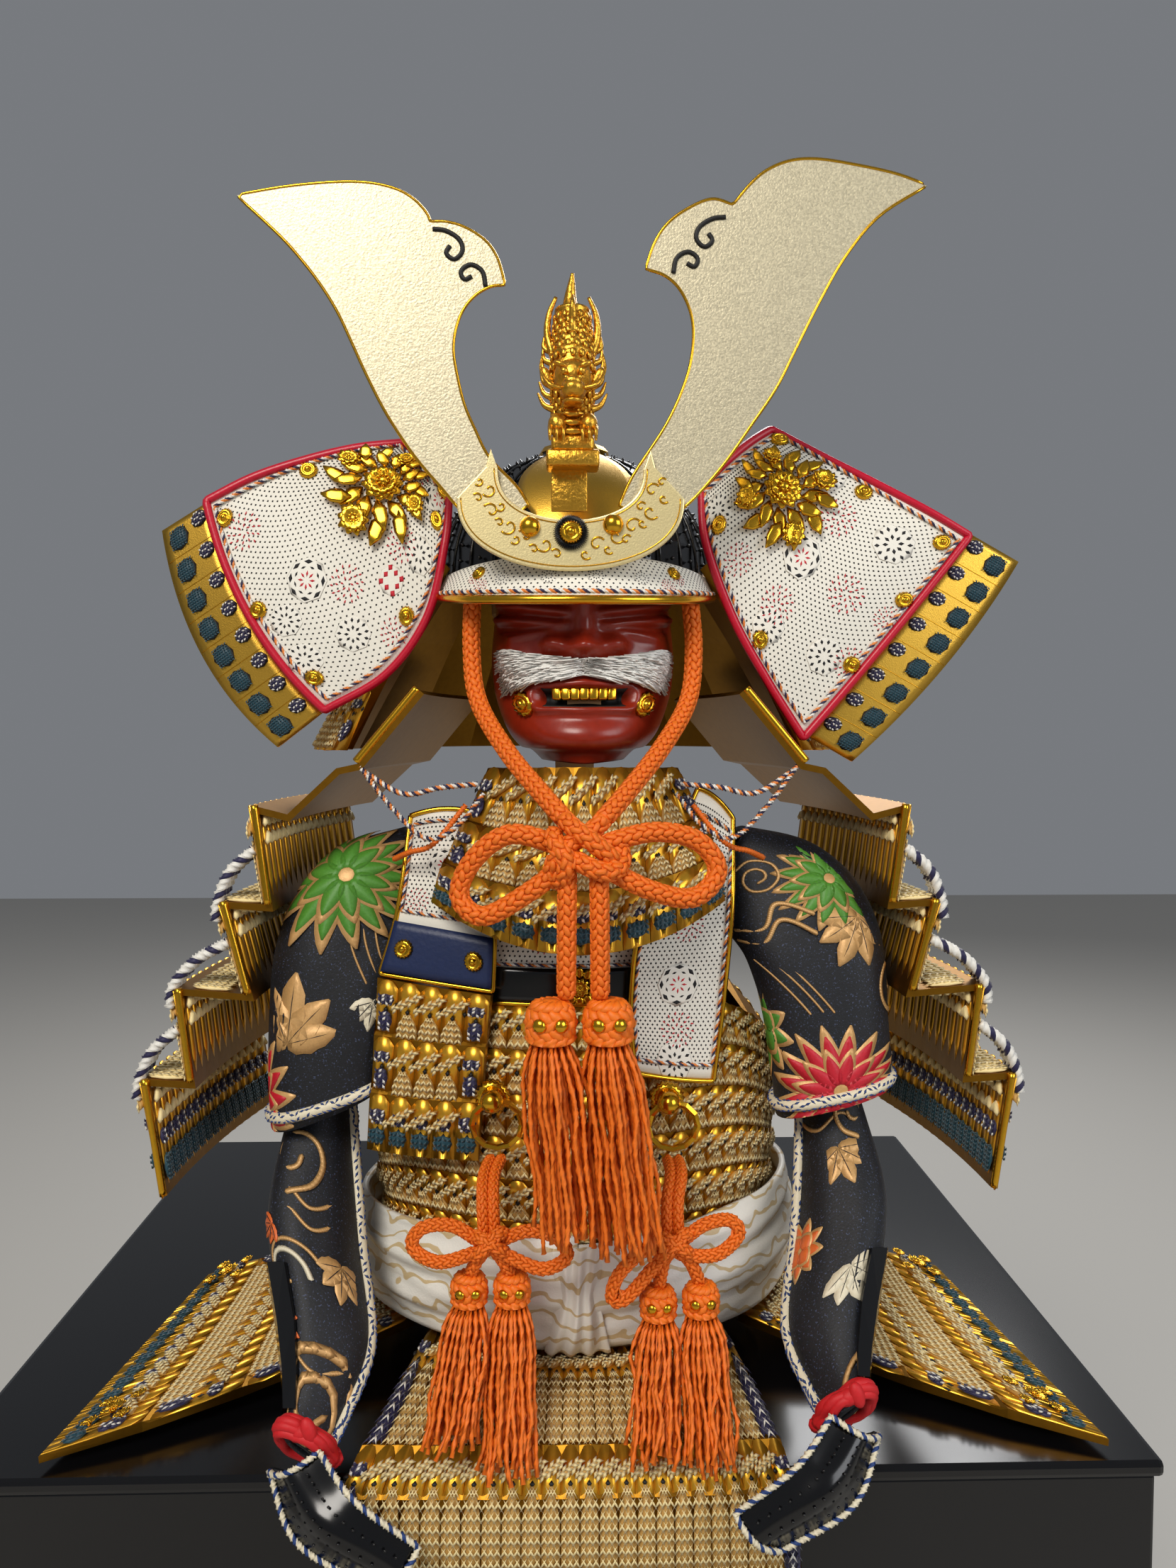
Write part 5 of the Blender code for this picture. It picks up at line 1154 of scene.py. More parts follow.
# Horn base. A pale engraved plate with a polished rim, two domed rivets, and a stepped stud on a
# ring of black bristle.
def base_line(count, shift=0.0):
    """Lower and upper edge of the crescent plate, as (x, z) points."""
    t = np.linspace(0.0, 1.0, count)
    turn = math.pi * t
    low = np.stack([-2 - (35.0 - shift) * np.cos(turn), 291.5 - (22.0 - shift) * np.sin(turn) ** 0.85
                    + 0 * t], 1)
    high = np.stack([-2 - (22.4 + shift) * np.cos(turn), 300.5 - (15.5 + shift) * np.sin(turn) ** 0.8
                     + 0 * t], 1)
    return low, high


low, high = base_line(61)
outline = [tuple(p) for p in low] + [(24.0, 301.0), (22.5, 306.5)] + [tuple(p) for p in high[::-1]] \
    + [(-26.5, 306.5), (-28.0, 301.0)]
# Pale gilt plate with fine engraving.
ENGRAVED = material("engraved pale gilt", "F3DFA6", 0.9, 0.42, 0.15, 0.05, 1800.0)
plate = piece("horn_base_plate", [shape_of(sheet_metal(outline, HORN_FRONT - 2.7, 2.4, 0.4))],
              [ENGRAVED],
              smooth=False)
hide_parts("horn_base")
FACE_Y = HORN_FRONT - 2.75
lines = []
for keys in ([(x, FACE_Y, z) for x, z in base_line(61, 1.3)[0]],
             [(x, FACE_Y, z) for x, z in base_line(61, 1.1)[1]]):
    lines.append(pipe(np.array(keys), 0.22, 5))
for sign in (-1, 1):
    for x, z, r, way in ((8.0, 277.5, 2.6, 1), (14.0, 280.0, 2.4, -1), (19.0, 283.0, 2.8, 1),
                         (24.5, 287.5, 2.6, -1),
                         (25.0, 294.0, 2.4, 1), (28.5, 291.5, 1.6, -1), (4.5, 274.5, 1.8, -1),
                         (11.5, 276.0, 1.6, -1),
                         (17.0, 279.0, 1.7, 1), (21.5, 289.0, 1.7, 1), (28.0, 296.5, 1.5, 1),
                         (22.0, 284.0, 1.5, -1)):
        t = np.linspace(0, 1, 22)
        spin = way * (0.6 + 5.2 * t) + (0 if sign > 0 else math.pi)
        reach = r * (1 - 0.8 * t)
        lines.append(pipe(np.stack([-2 + sign * x + reach * np.cos(spin), FACE_Y + 0 * t,
                                    z + reach * np.sin(spin)], 1),
                          0.36, 5))
piece("horn_base_scrolls", lines, [GILT])


def facing(shape, x, y, z):
    """A template stood up to face the front at a place."""
    p = shape[0]
    return np.stack([x + p[:, 0], y - p[:, 2], z + p[:, 1]], 1), shape[1], shape[2]


rivets = [facing(moved(grain(6.5, 6.5, 6.0, 20, 12)), x, FACE_Y, z)
          for x, z in ((-14.6, 282.8), (11.0, 283.6))]
rivets.append(facing(stud(3.6, 24), -2.0, FACE_Y - 2.0, 281.0))
piece("horn_base_rivets", rivets, [GILT])
ring = []
needle = grain(2.6, 0.5, 0.6, 4, 3)
for k in range(54):
    for row in (0, 1):
        turn = math.tau * (k + 0.5 * row) / 54
        at = moved(needle, ((4.3 - 0.3 * row) * math.cos(turn), (4.3 - 0.3 * row) * math.sin(turn),
                            0.5 + 0.9 * row),
                   turn - math.pi / 2)
        ring.append(facing(at, -2.0, FACE_Y, 281.0))
ring.append(facing(grain(8.6, 8.6, 1.6, 20, 6), -2.0, FACE_Y, 281.0))
piece("bristle_ring", ring, [IRON])


# Dragon crest. A gilt casting: a ribbed neck that rears over a scroll block, a horned head and two
# clawed paws.
y0 = HORN_FRONT - 5.0


def block(low, high, bevel=0.5):
    made = bmesh.new()
    bmesh.ops.create_cube(made, size=1.0)
    size, middle = np.subtract(high, low), np.add(high, low) / 2
    bmesh.ops.scale(made, vec=size, verts=made.verts)
    bmesh.ops.translate(made, vec=middle, verts=made.verts)
    bmesh.ops.bevel(made, geom=made.edges[:], offset=bevel, segments=2, profile=0.5, affect="EDGES",
                    material=-1)
    return shape_of(made)


def lump(x, y, z, wide, deep, high, turn=0.0):
    """A rounded lump: a grain stood up and turned in the front plane."""
    return facing(moved(grain(high, wide, deep, 12, 8), turn=turn), x, y, z)


def horn_of(keys, thick, thin, sides=8):
    line = even(keys, 20)[0]
    return skin(tube(line, lambda v: thick + (thin - thick) * v), from_line(line), sides, 20, True,
                ends=True)


parts = [block((-8.0, y0, 287.2), (3.0, y0 + 1.8, 303.0), 0.3),
         block((-9.5, y0 - 7, 299.5), (6.5, y0 + 4, 304.5), 0.9),
         block((-8.0, y0 - 6, 304.0), (5.0, y0 + 4, 309.0), 1.2)]
neck = even([(-1.5, y0 + 1, 306), (-1.5, y0 + 3, 318), (-1.5, y0 - 1, 330), (-1.5, y0 + 2, 341),
             (-1.5, y0 + 3, 348)], 60)[0]
parts.append(skin(tube(neck, lambda v: 5.2 + 1.2 * np.sin(math.pi * v) + 0.35 * np.sin(v * 90)),
                  from_line(neck), 20, 60,
                  True, ends=True))
scale = moved(grain(2.6, 2.2, 0.9, 6, 4))
k, r = np.meshgrid(np.arange(14), np.arange(18))
parts.append(strew(scale, tube(neck, lambda v: 5.3 + 1.2 * np.sin(math.pi * v)), from_line(neck),
                   ((k + r % 2 * 0.5) / 14).ravel(), (0.04 + r / 19).ravel(), lift=0.2))
for i in range(7):
    z = 310.0 + 2.6 * i
    parts.append(lump(-1.5, y0 - 5.2 + 0.15 * i, z, 7.0, 2.6, 2.2))
parts += [lump(-1.5, y0 - 4.5, 326.0, 12.0, 13.0, 11.0), lump(-1.5, y0 - 9.5, 321.0, 8.0, 10.5, 6.5),
          lump(-1.5, y0 - 9.0, 317.6, 6.4, 8.0, 2.4), lump(-1.5, y0 - 13.2, 322.6, 5.2, 3.0, 3.0)]
for side in (-1, 1):
    x = -1.5 + side
    parts += [lump(x + side * 1.6, y0 - 11.2, 326.0, 2.4, 2.4, 2.4),
              lump(x + side * 1.0, y0 - 13.6, 323.4, 1.6, 1.6, 1.6),
              lump(x + side * 2.6, y0 - 9.6, 328.4, 4.6, 2.4, 1.8, side * 0.4),
              lump(x + side * 6.3, y0 - 1.5, 326.5, 3.4, 2.6, 8.0, -side * 0.5),
              lump(x + side * 3.8, y0 - 6.5, 311.5, 5.4, 7.0, 7.0)]
    parts.append(horn_of([(x + side * 3.0, y0 - 1, 330), (x + side * 6.4, y0 + 1, 339),
                          (x + side * 6.2, y0 + 1, 346),
                          (x + side * 4.0, y0 + 1, 351.5)], 1.7, 0.6))
    parts.append(horn_of([(x + side * 1.6, y0 - 11, 321), (x + side * 6.0, y0 - 12, 322),
                          (x + side * 8.5, y0 - 9, 327),
                          (x + side * 8.0, y0 - 7, 332)], 0.7, 0.35, 6))
    for c in range(3):
        parts.append(horn_of([(x + side * (1.8 + 1.9 * c), y0 - 8.5, 310.5),
                              (x + side * (1.8 + 2.0 * c), y0 - 10.6, 308.6),
                              (x + side * (1.8 + 2.0 * c), y0 - 10.6, 306.0)], 0.95, 0.35, 6))
    for i in range(6):
        z = 318.0 + 3.4 * i
        parts.append(horn_of([(x + side * 4.6, y0 + 1.0, z), (x + side * 7.6, y0 + 1.5, z + 1.5),
                              (x + side * (9.6 - 0.4 * i), y0 + 1.5, z + 5.0)], 1.3, 0.3, 6))
for i, z in enumerate((334.0, 339.0, 344.0)):
    parts.append(horn_of([(-1.5, y0 - 3.5, z), (-1.5, y0 - 4.5, z + 3.5), (-1.5, y0 - 2.5, z + 7.0)],
                         2.0 - 0.3 * i, 0.4, 8))
parts.append(horn_of([(-1.5, y0 + 3, 344), (-2.2, y0 + 1, 350), (-1.5, y0 - 1, 358)], 3.4, 0.5, 10))
crest = piece("dragon_casting", parts, [BUMPY_GOLD])
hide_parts("dragon_crest")


# Mask. Red-brown lacquer over a shaped shell: brow ridges, a ridged nose, cheeks, an open mouth
# with gilt teeth, and a white hair moustache.
# Red-brown lacquer over a hammered mask, half glossy.
RED_LACQUER = material("red-brown lacquer", "8A2410", 0.0, 0.30, 0.20, 0.05, 420.0)
MASK = [(29.0, -52.0, 265.0), (30.5, -52.0, 254.0), (31.0, -53.0, 243.0), (29.5, -55.0, 231.0),
        (24.5, -57.0, 219.0),
        (15.5, -55.0, 209.0)]


def mask_surface(u, v):
    level = spline(MASK, np.clip(v, 0, 1))
    half, front, z = level[..., 0], level[..., 1], level[..., 2]
    turn = u * math.radians(80)
    return np.stack([2.5 + half * np.sin(turn) / math.sin(math.radians(80)),
                     front + 29.0 * (1 - np.cos(turn)), z], -1)


def bump(u, v, at_u, at_v, wide, high):
    return np.exp(-((u - at_u) / wide) ** 2 - ((v - at_v) / high) ** 2)


def ridge(u, v, a, b, wide):
    """A ridge along the line from a to b, in (u, v)."""
    ax, ay, bx, by = *a, *b
    t = np.clip(((u - ax) * (bx - ax) + (v - ay) * (by - ay)) / ((bx - ax) ** 2 + (by - ay) ** 2), 0, 1)
    return np.exp(-(((u - ax - t * (bx - ax)) * 0.75) ** 2 + (v - ay - t * (by - ay)) ** 2) / wide ** 2)


def mask_relief(u, v):
    """Brows, nose, cheeks, lips and chin, in millimetres of lift."""
    a = np.abs(u)
    lift = 9.0 * bump(u, v, 0, 0.35, 0.13, 0.07) + 6.5 * bump(u, v, 0, 0.18, 0.075, 0.18)
    lift += (5.0 * bump(a, v, 0.22, 0.31, 0.09, 0.055)
             + 6.0 * np.clip(1 - a / 0.20 - np.abs(v - 0.02) / 0.15, 0, 1))
    lift += (2.6 * ridge(a, v, (0.14, 0.12), (0.85, 0.05), 0.030)
             + 2.4 * ridge(a, v, (0.16, 0.19), (0.85, 0.14), 0.030))
    lift += 1.6 * ridge(a, v, (0.24, 0.22), (0.60, 0.27), 0.030)
    lift -= (1.4 * ridge(a, v, (0.18, 0.155), (0.84, 0.09), 0.022)
             + 1.3 * ridge(a, v, (0.24, 0.205), (0.80, 0.20), 0.022))
    lift += 2.6 * bump(a, v, 0.62, 0.40, 0.22, 0.12)
    lift += (2.2 * ridge(a, v, (0.0, 0.530), (0.36, 0.555), 0.022)
             + 3.0 * ridge(a, v, (0.0, 0.670), (0.38, 0.655), 0.028))
    lift += 2.4 * bump(a, v, 0.42, 0.60, 0.045, 0.05)
    lift -= 5.4 / (1 + np.exp(np.clip((np.abs(v - 0.60) - 0.050) * 160, -40, 40))) / (
        1 + np.exp(np.clip((a - 0.37) * 60, -40, 40)))
    lift += 3.2 * bump(u, v, 0, 0.81, 0.60, 0.085) - 2.0 / (1 + np.exp(np.clip((0.905 - v) * 110, -40, 40)))
    return lift


mask = shell("lacquered_mask", mask_surface, FRONT, 60, 72, 2.0, RED_LACQUER,
             lift=mask_relief)
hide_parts("face_mask")
# The open mouth is a near-black sheet behind the lips: painted shade inside it.
shell("mask_mouth", lambda u, v: mask_surface(0.345 * u, 0.553 + 0.094 * v), FRONT, 30, 6, 0.3, PAINTED_HOLE_SHADE,
              lift=lambda u, v: mask_relief(0.345 * u, 0.553 + 0.094 * v) + 0.4)
tooth = block((-1.55, -2.1, -1.2), (1.55, 2.1, 1.2), 0.6)
piece("mask_teeth", [strew(tooth, mask_surface, FRONT, np.linspace(-0.225, 0.225, 7), 0.578,
                           lift=-1.6)], [GILT])
piece("mask_knobs", [strew(stud(4.4, 12), mask_surface, FRONT, np.array([-0.52, 0.52]), 0.635,
                           lift=0.6)], [GILT])


# Moustache. White hair set in under the nose and brushed outwards.
# White animal hair.
HAIR = material("white hair", "F1EFE8", 0.0, 0.5, 0.08, 0.0, 900.0)
luck = np.random.default_rng(3)
hairs = []
for i in range(1050):
    side = -1 if i % 2 else 1
    u0 = luck.uniform(-0.02, 0.56)
    apart = luck.uniform(-1.0, 1.0) * (0.038 + 0.10 * u0)
    v0 = 0.452 - 0.03 * u0 + apart
    out = luck.uniform(0.16, 0.26)
    t = np.linspace(0, 1, 3)
    u = u0 + out * t
    v = v0 + (0.35 * apart + 0.03 * luck.random()) * t + 0.03 * u0 * t * t
    rise = 1.2 + 2.8 * math.sin(math.pi * min(1, u0 / 0.7 + 0.2)) * luck.uniform(0.3, 1.0)
    line = on(mask_surface, side * np.minimum(u, 0.86), v,
              mask_relief(u, v) + rise * (0.35 + 0.65 * np.sin(math.pi * (0.2 + 0.6 * t))),
              FRONT)
    hairs.append(rope(line, 0.38, 1, 40.0))
hair = piece("moustache_hair", hairs, [HAIR])
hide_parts("moustache")


# Plates, chest and stand. The armour's rear sides, the lacquered chest and the wooden stand keep
# their plain solids under a finish.
# Black lacquer, polished to a soft mirror.
BLACK = material("black urushi lacquer", "08080A", 0.0, 0.18)
# Planed wood of the stand.
PALE_WOOD = material("planed pale wood", "B98F5E", 0.0, 0.55, 0.12, 0.05, 240.0)
# Backs of the gilt lames: duller, and darker as painted shade of the rows' inner sides.
SHADED_GILT_BACKS = material("gilt lame backs in painted shade", "8F641C", 1.0, 0.40, 0.18, 0.05, 420.0)
# Red silk crepe of the wrist ties.
RED_SILK = material("red silk crepe", "C8141C", 0.0, 0.6, 0.12, 0.08, 900.0)
for paint, names in ((BLACK, ("chest_box", "chest_lid", "forearm_splint_left", "forearm_splint_right")),
                     (PALE_WOOD, ("armour_stand",)), (IRON, ("helmet_bowl",)),
                     (GILT, ("crown_ring", "ring_left", "ring_right")),
                     (SHADED_GILT_BACKS, ("cuirass", "neck_guard", "skirt_front", "skirt_back", "skirt_left",
                                   "skirt_right",
                                   "sode_left", "sode_right", "throat_guard", "right_breast_lames")),
                     (PLAIN, ("back_plate",))):
    for name in names:
        frame["nodes"][name].data.materials.clear()
        frame["nodes"][name].data.materials.append(paint)


# Breast guards and chest plate. Boards under printed deerskin, each with a gilt roll round its
# edge and a twisted piping inside it.
# Dark blue dyed leather with a grain.
BLUE_LEATHER = material("dark blue leather", "16264F", 0.0, 0.45, 0.15, 0.12, 700.0)
CAP = [((-55.5, -39.0, 191.5), (-42.5, -40.5, 194.0), (-30.5, -41.5, 191.5)),
       ((-57.0, -45.5, 174.0), (-42.0, -49.5, 174.0), (-27.0, -52.0, 172.5)),
       ((-59.5, -49.0, 157.5), (-43.5, -54.0, 155.5), (-26.5, -58.0, 153.0)),
       ((-64.5, -50.0, 140.5), (-46.0, -55.0, 138.5), (-27.0, -59.5, 136.5))]
BOARD = [((41.2, -38.0, 200.5), (47.0, -39.0, 197.5), (53.0, -39.0, 190.5)),
         ((22.0, -58.5, 163.0), (36.0, -55.5, 163.0), (51.0, -51.5, 163.0)),
         ((17.3, -60.5, 135.0), (32.5, -57.0, 134.0), (48.5, -51.5, 133.0)),
         ((18.5, -60.5, 110.0), (31.5, -57.5, 107.0), (45.0, -52.0, 104.5))]
CHEST = [((-34, -47.3, 158), (0, -55.8, 160), (34, -47.3, 158)),
         ((-39, -48.3, 145), (0, -56.8, 145), (39, -48.3, 145)),
         ((-43, -47.8, 131.5), (0, -56.8, 131.5), (43, -47.8, 131.5))]
for name, sections, old, depth, prints in (
        ("breast_cap", CAP, "right_breast_cap", 0.62,
         [("petals", 4.6, -0.1, 0.30), ("dashes", 4.0, 0.55, 0.14), ("dashes", 3.6, -0.62, 0.52)]),
        ("breast_board", BOARD, "left_breast_board", 1.0,
         [("petals", 5.8, 0.0, 0.62), ("dashes", 5.0, 0.05, 0.80), ("wheel", 5.2, 0.0, 0.93),
          ("dashes", 4.4, 0.1, 0.40),
          ("wheel", 4.2, 0.0, 0.20)]),
        ("chest_leather", CHEST, "chest_plate", 0.55,
         [("dashes", 4.0, -0.3, 0.25), ("wheel", 4.0, 0.35, 0.25)])):
    surface = patch(sections)
    made = shell(name, surface, FRONT, 24, 24, 2.2, LEATHER)
    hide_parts(old)
    parts = [dots(surface, FRONT, 1.65, 0.86, 0.03, depth - 0.04)]
    for kind, radius, u, v in prints:
        parts.append(strew(flower(kind, radius), surface, FRONT, u, v, lift=0.12))
    piece(name + "_print", parts, [PLAIN, INK, PINK])
    around = [(-1, 0), (1, 0), (1, 1), (-1, 1), (-1, 0)]
    piece(name + "_roll", [pipe(border(surface, 0.0, around, lift=0.2), 0.9)], [GILT])
    around = [(-1, 0.02), (1, 0.02), (1, depth - 0.02), (-1, depth - 0.02), (-1, 0.02)]
    piece(name + "_piping", [rope(border(surface, 0.09, around, lift=0.5), 0.75, 3, 4.0, PIPING)],
          [WHITE, NAVY, ORANGE_THREAD])
surface = patch(CAP)
band = shell("blue_leather_band", lambda u, v: surface(u * 0.98, 0.66 + 0.32 * v), FRONT, 20, 6, 1.0,
             BLUE_LEATHER,
             lift=1.6)
piece("band_studs", [strew(stud(3.2), surface, FRONT, np.array([-0.66, 0.66]), 0.82, lift=1.8),
                     strew(stud(4.2, 22), surface, FRONT, 0.80, 0.36, lift=0.4)], [GILT])
surface = patch(CHEST)
band = shell("chest_black_band", lambda u, v: surface(u * 0.98, 0.56 + 0.42 * v), FRONT, 20, 6, 0.8, BLACK,
             lift=1.1)
parts = [strew(moved(bloom(3.4, 2), size=(1.2, 1.2, 0.8)), surface, FRONT, 0.02, 0.78, lift=1.2)]
for k in range(12):
    turn = math.tau * k / 12
    parts.append(strew(moved(petal(4.2, 3.0, 0.5), (3.2 * math.cos(turn), 2.6 * math.sin(turn), 0),
                             turn - math.pi / 2), surface,
                       FRONT, 0.02, 0.78, lift=1.2))
piece("chest_ornament", parts, [GILT])


# Shoulder straps. Padded straps of the same deerskin, edged with piping.
for side, name in ((-1, "left"), (1, "right")):
    keys = [(-46.0, 160.6), (-41.5, 172.0), (-27.0, 180.5), (0.0, 182.2), (27.0, 180.5), (41.5, 172.0),
            (46.0, 160.6)]

    def strap_surface(u, v, side=side, keys=keys):
        line = spline([(0, y, z) for y, z in keys], v)
        return line + np.stack([side * (35.0 + 7.0 * u), 0 * u, 0 * u], -1)

    def up_out(at):
        return at - (0, 0, 150)
    made = shell("strap_leather_" + name, strap_surface, up_out, 12, 60, 3.0, LEATHER,
                 lift=1.5)
    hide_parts("shoulder_strap_" + name)
    piece("strap_print_" + name, [dots(lambda u, v: on(strap_surface, u, v, 1.5 + 0 * u, up_out),
                                       up_out, 1.7, 0.8)],
          [PLAIN, INK])
    for edge in (-1, 1):
        v = np.linspace(0.01, 0.99, 120)
        line = on(strap_surface, np.full(120, 0.93 * edge), v, np.full(120, 1.9), up_out)
        piece("strap_piping_%s_%d" % (name, edge + 2), [rope(line, 0.8, 3, 4.2, PIPING)],
              [WHITE, NAVY, ORANGE_THREAD])


# Rings. A gilt ball stud on a petal rosette carries each ring.
for name, x, y, z in (("left", -27.1, -62.0, 103.2), ("right", 29.0, -61.4, 102.0)):
    parts = [facing(stud(5.6, 20), x, y, z), lump(x, y - 5.5, z, 7.4, 8.0, 7.4),
             lump(x, y - 3.0, z, 4.0, 6.0, 4.0)]
    piece("ring_rosette_" + name, parts, [GILT])


# Sash. White silk woven with gilt cloud bands, folded round the waist and drawn together in a
# pleated knot at the front.
# White silk of the sash, with a faint sheen.
SILK = material("white silk", "EDEAE0", 0.0, 0.42, 0.0, 0.12, 1500.0, 0.2)
spot = node(SILK, "TexCoord").outputs["Object"]
waves = node(SILK, "TexWave", {"Vector": spot, "Scale": 52.0, "Distortion": 11.0, "Detail": 2.0,
                               "Detail Scale": 1.2},
             bands_direction="Z")
share = node(SILK, "MapRange", {"Value": waves.outputs["Fac"], "From Min": 0.86, "From Max": 0.91})
mix = node(SILK, "Mix", {"Factor": share.outputs["Result"], "A": colour("EDEAE0"),
                         "B": colour("CFB78A")}, data_type="RGBA")
SILK.node_tree.links.new(mix.outputs["Result"],
                         SILK.node_tree.nodes["Principled BSDF"].inputs["Base Color"])


def sash_surface(u, v):
    turn = math.tau * u - math.pi / 2
    low = 20.0 + 3.0 * np.sin(turn + 2.0) * np.cos(turn)
    high = 58.0 + 4.0 * np.cos(turn) - 3.0 * np.exp(-((turn + math.pi / 2) / 0.5) ** 2)
    full = 4.6 + 3.2 * np.sin(math.pi * v)
    return np.stack([(73.2 + full) * np.cos(turn), (59.0 + full) * np.sin(turn),
                     high + (low - high) * v], -1)


def sash_folds(u, v):
    turn = math.tau * u - math.pi / 2
    fold = 1.1 * np.sin(5.0 * v * math.pi + 2.4 * np.cos(turn * 2 + 0.4) + 3 * np.sin(turn * 3))
    fold += 0.5 * np.sin(11.0 * v * math.pi + 5.0 * np.sin(turn * 2 + 1.0))
    near = np.exp(-(np.minimum(u, 1 - u) / 0.05) ** 2)
    return fold * (0.5 + 0.5 * np.sin(math.pi * v)) + 2.6 * near * np.sin(math.pi * v)


made = shell("silk_sash", sash_surface, sideways, 128, 26, 2.0, SILK, closed=True,
             lift=sash_folds)
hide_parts("sash")


def pleats(u, v):
    return (5.2 * np.sin(math.pi * np.clip(v, 0.02, 0.98)) ** 0.6 * np.cos(u * 1.5)
            + 0.9 * np.sin(u * 11 + 4 * v))


knot = shell("sash_knot",
             lambda u, v: sash_surface((0.012 + 0.016 * np.abs(v - 0.4)) * u, 0.02 + 0.96 * v),
             sideways, 40, 30, 1.6, SILK, lift=lambda u, v: pleats(u, v) + 1.6)


# Sleeves. Navy twill brocade with pale flecks, woven with chrysanthemums, leaves and gilt lines,
# and hemmed in a printed cream band.
# Navy twill with lighter flecks of its warp.
BROCADE = material("navy twill brocade", "080B13", 0.0, 0.6, 0.15, 0.10, 1500.0, 0.03)
spot = node(BROCADE, "TexCoord").outputs["Object"]
flecks = node(BROCADE, "TexNoise", {"Vector": spot, "Scale": 1700.0, "Detail": 1.0})
share = node(BROCADE, "MapRange", {"Value": flecks.outputs["Fac"], "From Min": 0.63, "From Max": 0.72})
mix = node(BROCADE, "Mix", {"Factor": share.outputs["Result"], "A": colour("080B13"),
                            "B": colour("3E4864")}, data_type="RGBA")
BROCADE.node_tree.links.new(mix.outputs["Result"],
                            BROCADE.node_tree.nodes["Principled BSDF"].inputs["Base Color"])
WEFT = [material("gilt weft", "D2A56A", 0.25, 0.45, 0.2, 0.06, 1500.0),
        material("green silk weft", "4E8C2E", 0.0, 0.5, 0.25, 0.06, 1500.0),
        material("red silk weft", "C2182C", 0.0, 0.5, 0.2, 0.06, 1500.0),
        material("dark vein", "1A1A22", 0.0, 0.6),
        material("cream silk weft", "E6DCC0", 0.0, 0.5, 0.1, 0.06, 1500.0),
        material("orange silk weft", "DE6A2C", 0.0, 0.5, 0.1, 0.06, 1500.0),
        material("blue print", "23407C", 0.0, 0.6)]


def blade(long, wide, slot, high=0.22, full=0.8, serrated=0.0):
    """A flat woven petal or leaf from its foot at the origin along +y."""
    made = bmesh.new()
    bmesh.ops.create_grid(made, x_segments=2, y_segments=7, size=0.5)
    for vert in made.verts:
        a, t = vert.co.x * 2, vert.co.y + 0.5
        half = wide / 2 * max(0.03, math.sin(math.pi * min(0.99, 0.08 + 0.91 * t ** full))) ** 0.7
        half *= 1 + serrated * (1 if int(round(t * 7)) % 2 else -1)
        vert.co = (a * half, t * long, high)
    made.normal_update()
    walled(made, 0.16)
    return shape_of(made, slot)


def chrysanthemum(radius, slot, petals=15, flat=1.0):
    """A woven flower of pointed petals, each outlined in gilt weft."""
    parts = []
    for ring, reach, count in ((0, 1.0, petals), (1, 0.62, petals - 5)):
        for k in range(count):
            turn = math.tau * (k + 0.5 * ring) / count
            wide = 2.1 * radius * reach / count * 2.2
            for tone, grow, high in ((0, 1.0, 0.18 + 0.16 * ring), (slot, 0.80, 0.26 + 0.16 * ring)):
                leaf = moved(blade(radius * reach * (0.9 * grow + 0.08), wide * grow, tone, high),
                             (0, radius * 0.10, 0))
                parts.append(moved(leaf, turn=turn))
    parts.append(moved(grain(radius * 0.30, radius * 0.30, 0.9, 10, 4, 0)))
    made = merged(parts)
    return made[0] * (1, flat, 1), made[1], made[2]


def veined_leaf(long, slot=0, lobes=5, vein=3):
    """A lobed leaf in one weft with dark veins."""
    parts = []
    for k in range(lobes):
        turn = (k - (lobes - 1) / 2) * 0.62
        reach = long * (1.0 - 0.13 * abs(k - (lobes - 1) / 2))
        parts.append(moved(blade(reach, long * 0.42, slot, 0.20, 0.9, 0.07), turn=turn))
        parts.append(moved(grain(reach * 0.8, 0.35, 0.5, 4, 3, vein),
                           (-math.sin(turn) * reach * 0.42, math.cos(turn) * reach * 0.42, 0.25),
                           turn))
    return merged(parts)


def woven_line(points, width=1.1, slot=0):
    """A woven line in its own plane, through (x, y) points."""
    line = even([(x, y, 0) for x, y in points], 40)[0]
    ahead = np.gradient(line, axis=0)
    turns = np.arctan2(-ahead[:, 0], ahead[:, 1])
    step = np.linalg.norm(ahead, axis=1).mean()
    bit = grain(step * 2.2, width, 0.45, 4, 3, slot)
    return merged([moved(bit, (p[0], p[1], 0.12), t) for p, t in zip(line, turns)])


def swirl(radius, turns=1.6, width=1.2, slot=0, start=0.3):
    """A woven curl that opens as it turns."""
    t = np.linspace(0, 1, 12)
    angle = start + math.tau * turns * t
    reach = radius * (0.25 + 0.75 * t)
    return woven_line(list(zip(reach * np.cos(angle), reach * np.sin(angle))), width, slot)


def ring_tube(rings, side, shift, squareness, narrow=0.0, pitch_share=0.0, end=(0.0, 0.0)):
    """Surface through tilted rings: u once round, v along the sleeve."""
    keys = np.array(rings, float)

    def surface(u, v):
        v = np.clip(v, 0, 1)
        level, ahead = spline(keys, v), unit(spline(keys[:, :3], np.minimum(v + 0.02, 1))
                                             - spline(keys[:, :3], np.maximum(v - 0.02, 0)))
        c, s = np.cos(math.tau * u), np.sin(math.tau * u)
        radius = (np.abs(c) ** squareness + np.abs(s) ** squareness) ** (-1.0 / squareness)
        tilt = np.radians(level[..., 5])
        wide, deep = level[..., 3] * c * radius * (1 - narrow * s * radius), level[..., 4] * s * radius
        pitch = np.arctan2(-ahead[..., 1], -ahead[..., 2]) * pitch_share
        x = level[..., 0] + wide * np.cos(tilt) - level[..., 6] * deep
        z = level[..., 2] + wide * np.sin(tilt) - deep * np.sin(pitch) + end[1] * v ** 2
        return np.stack([side * x + shift * np.minimum(1.0, 3 * v) + end[0] * v ** 2,
                         level[..., 1] + deep * np.cos(pitch), z], -1)
    return surface


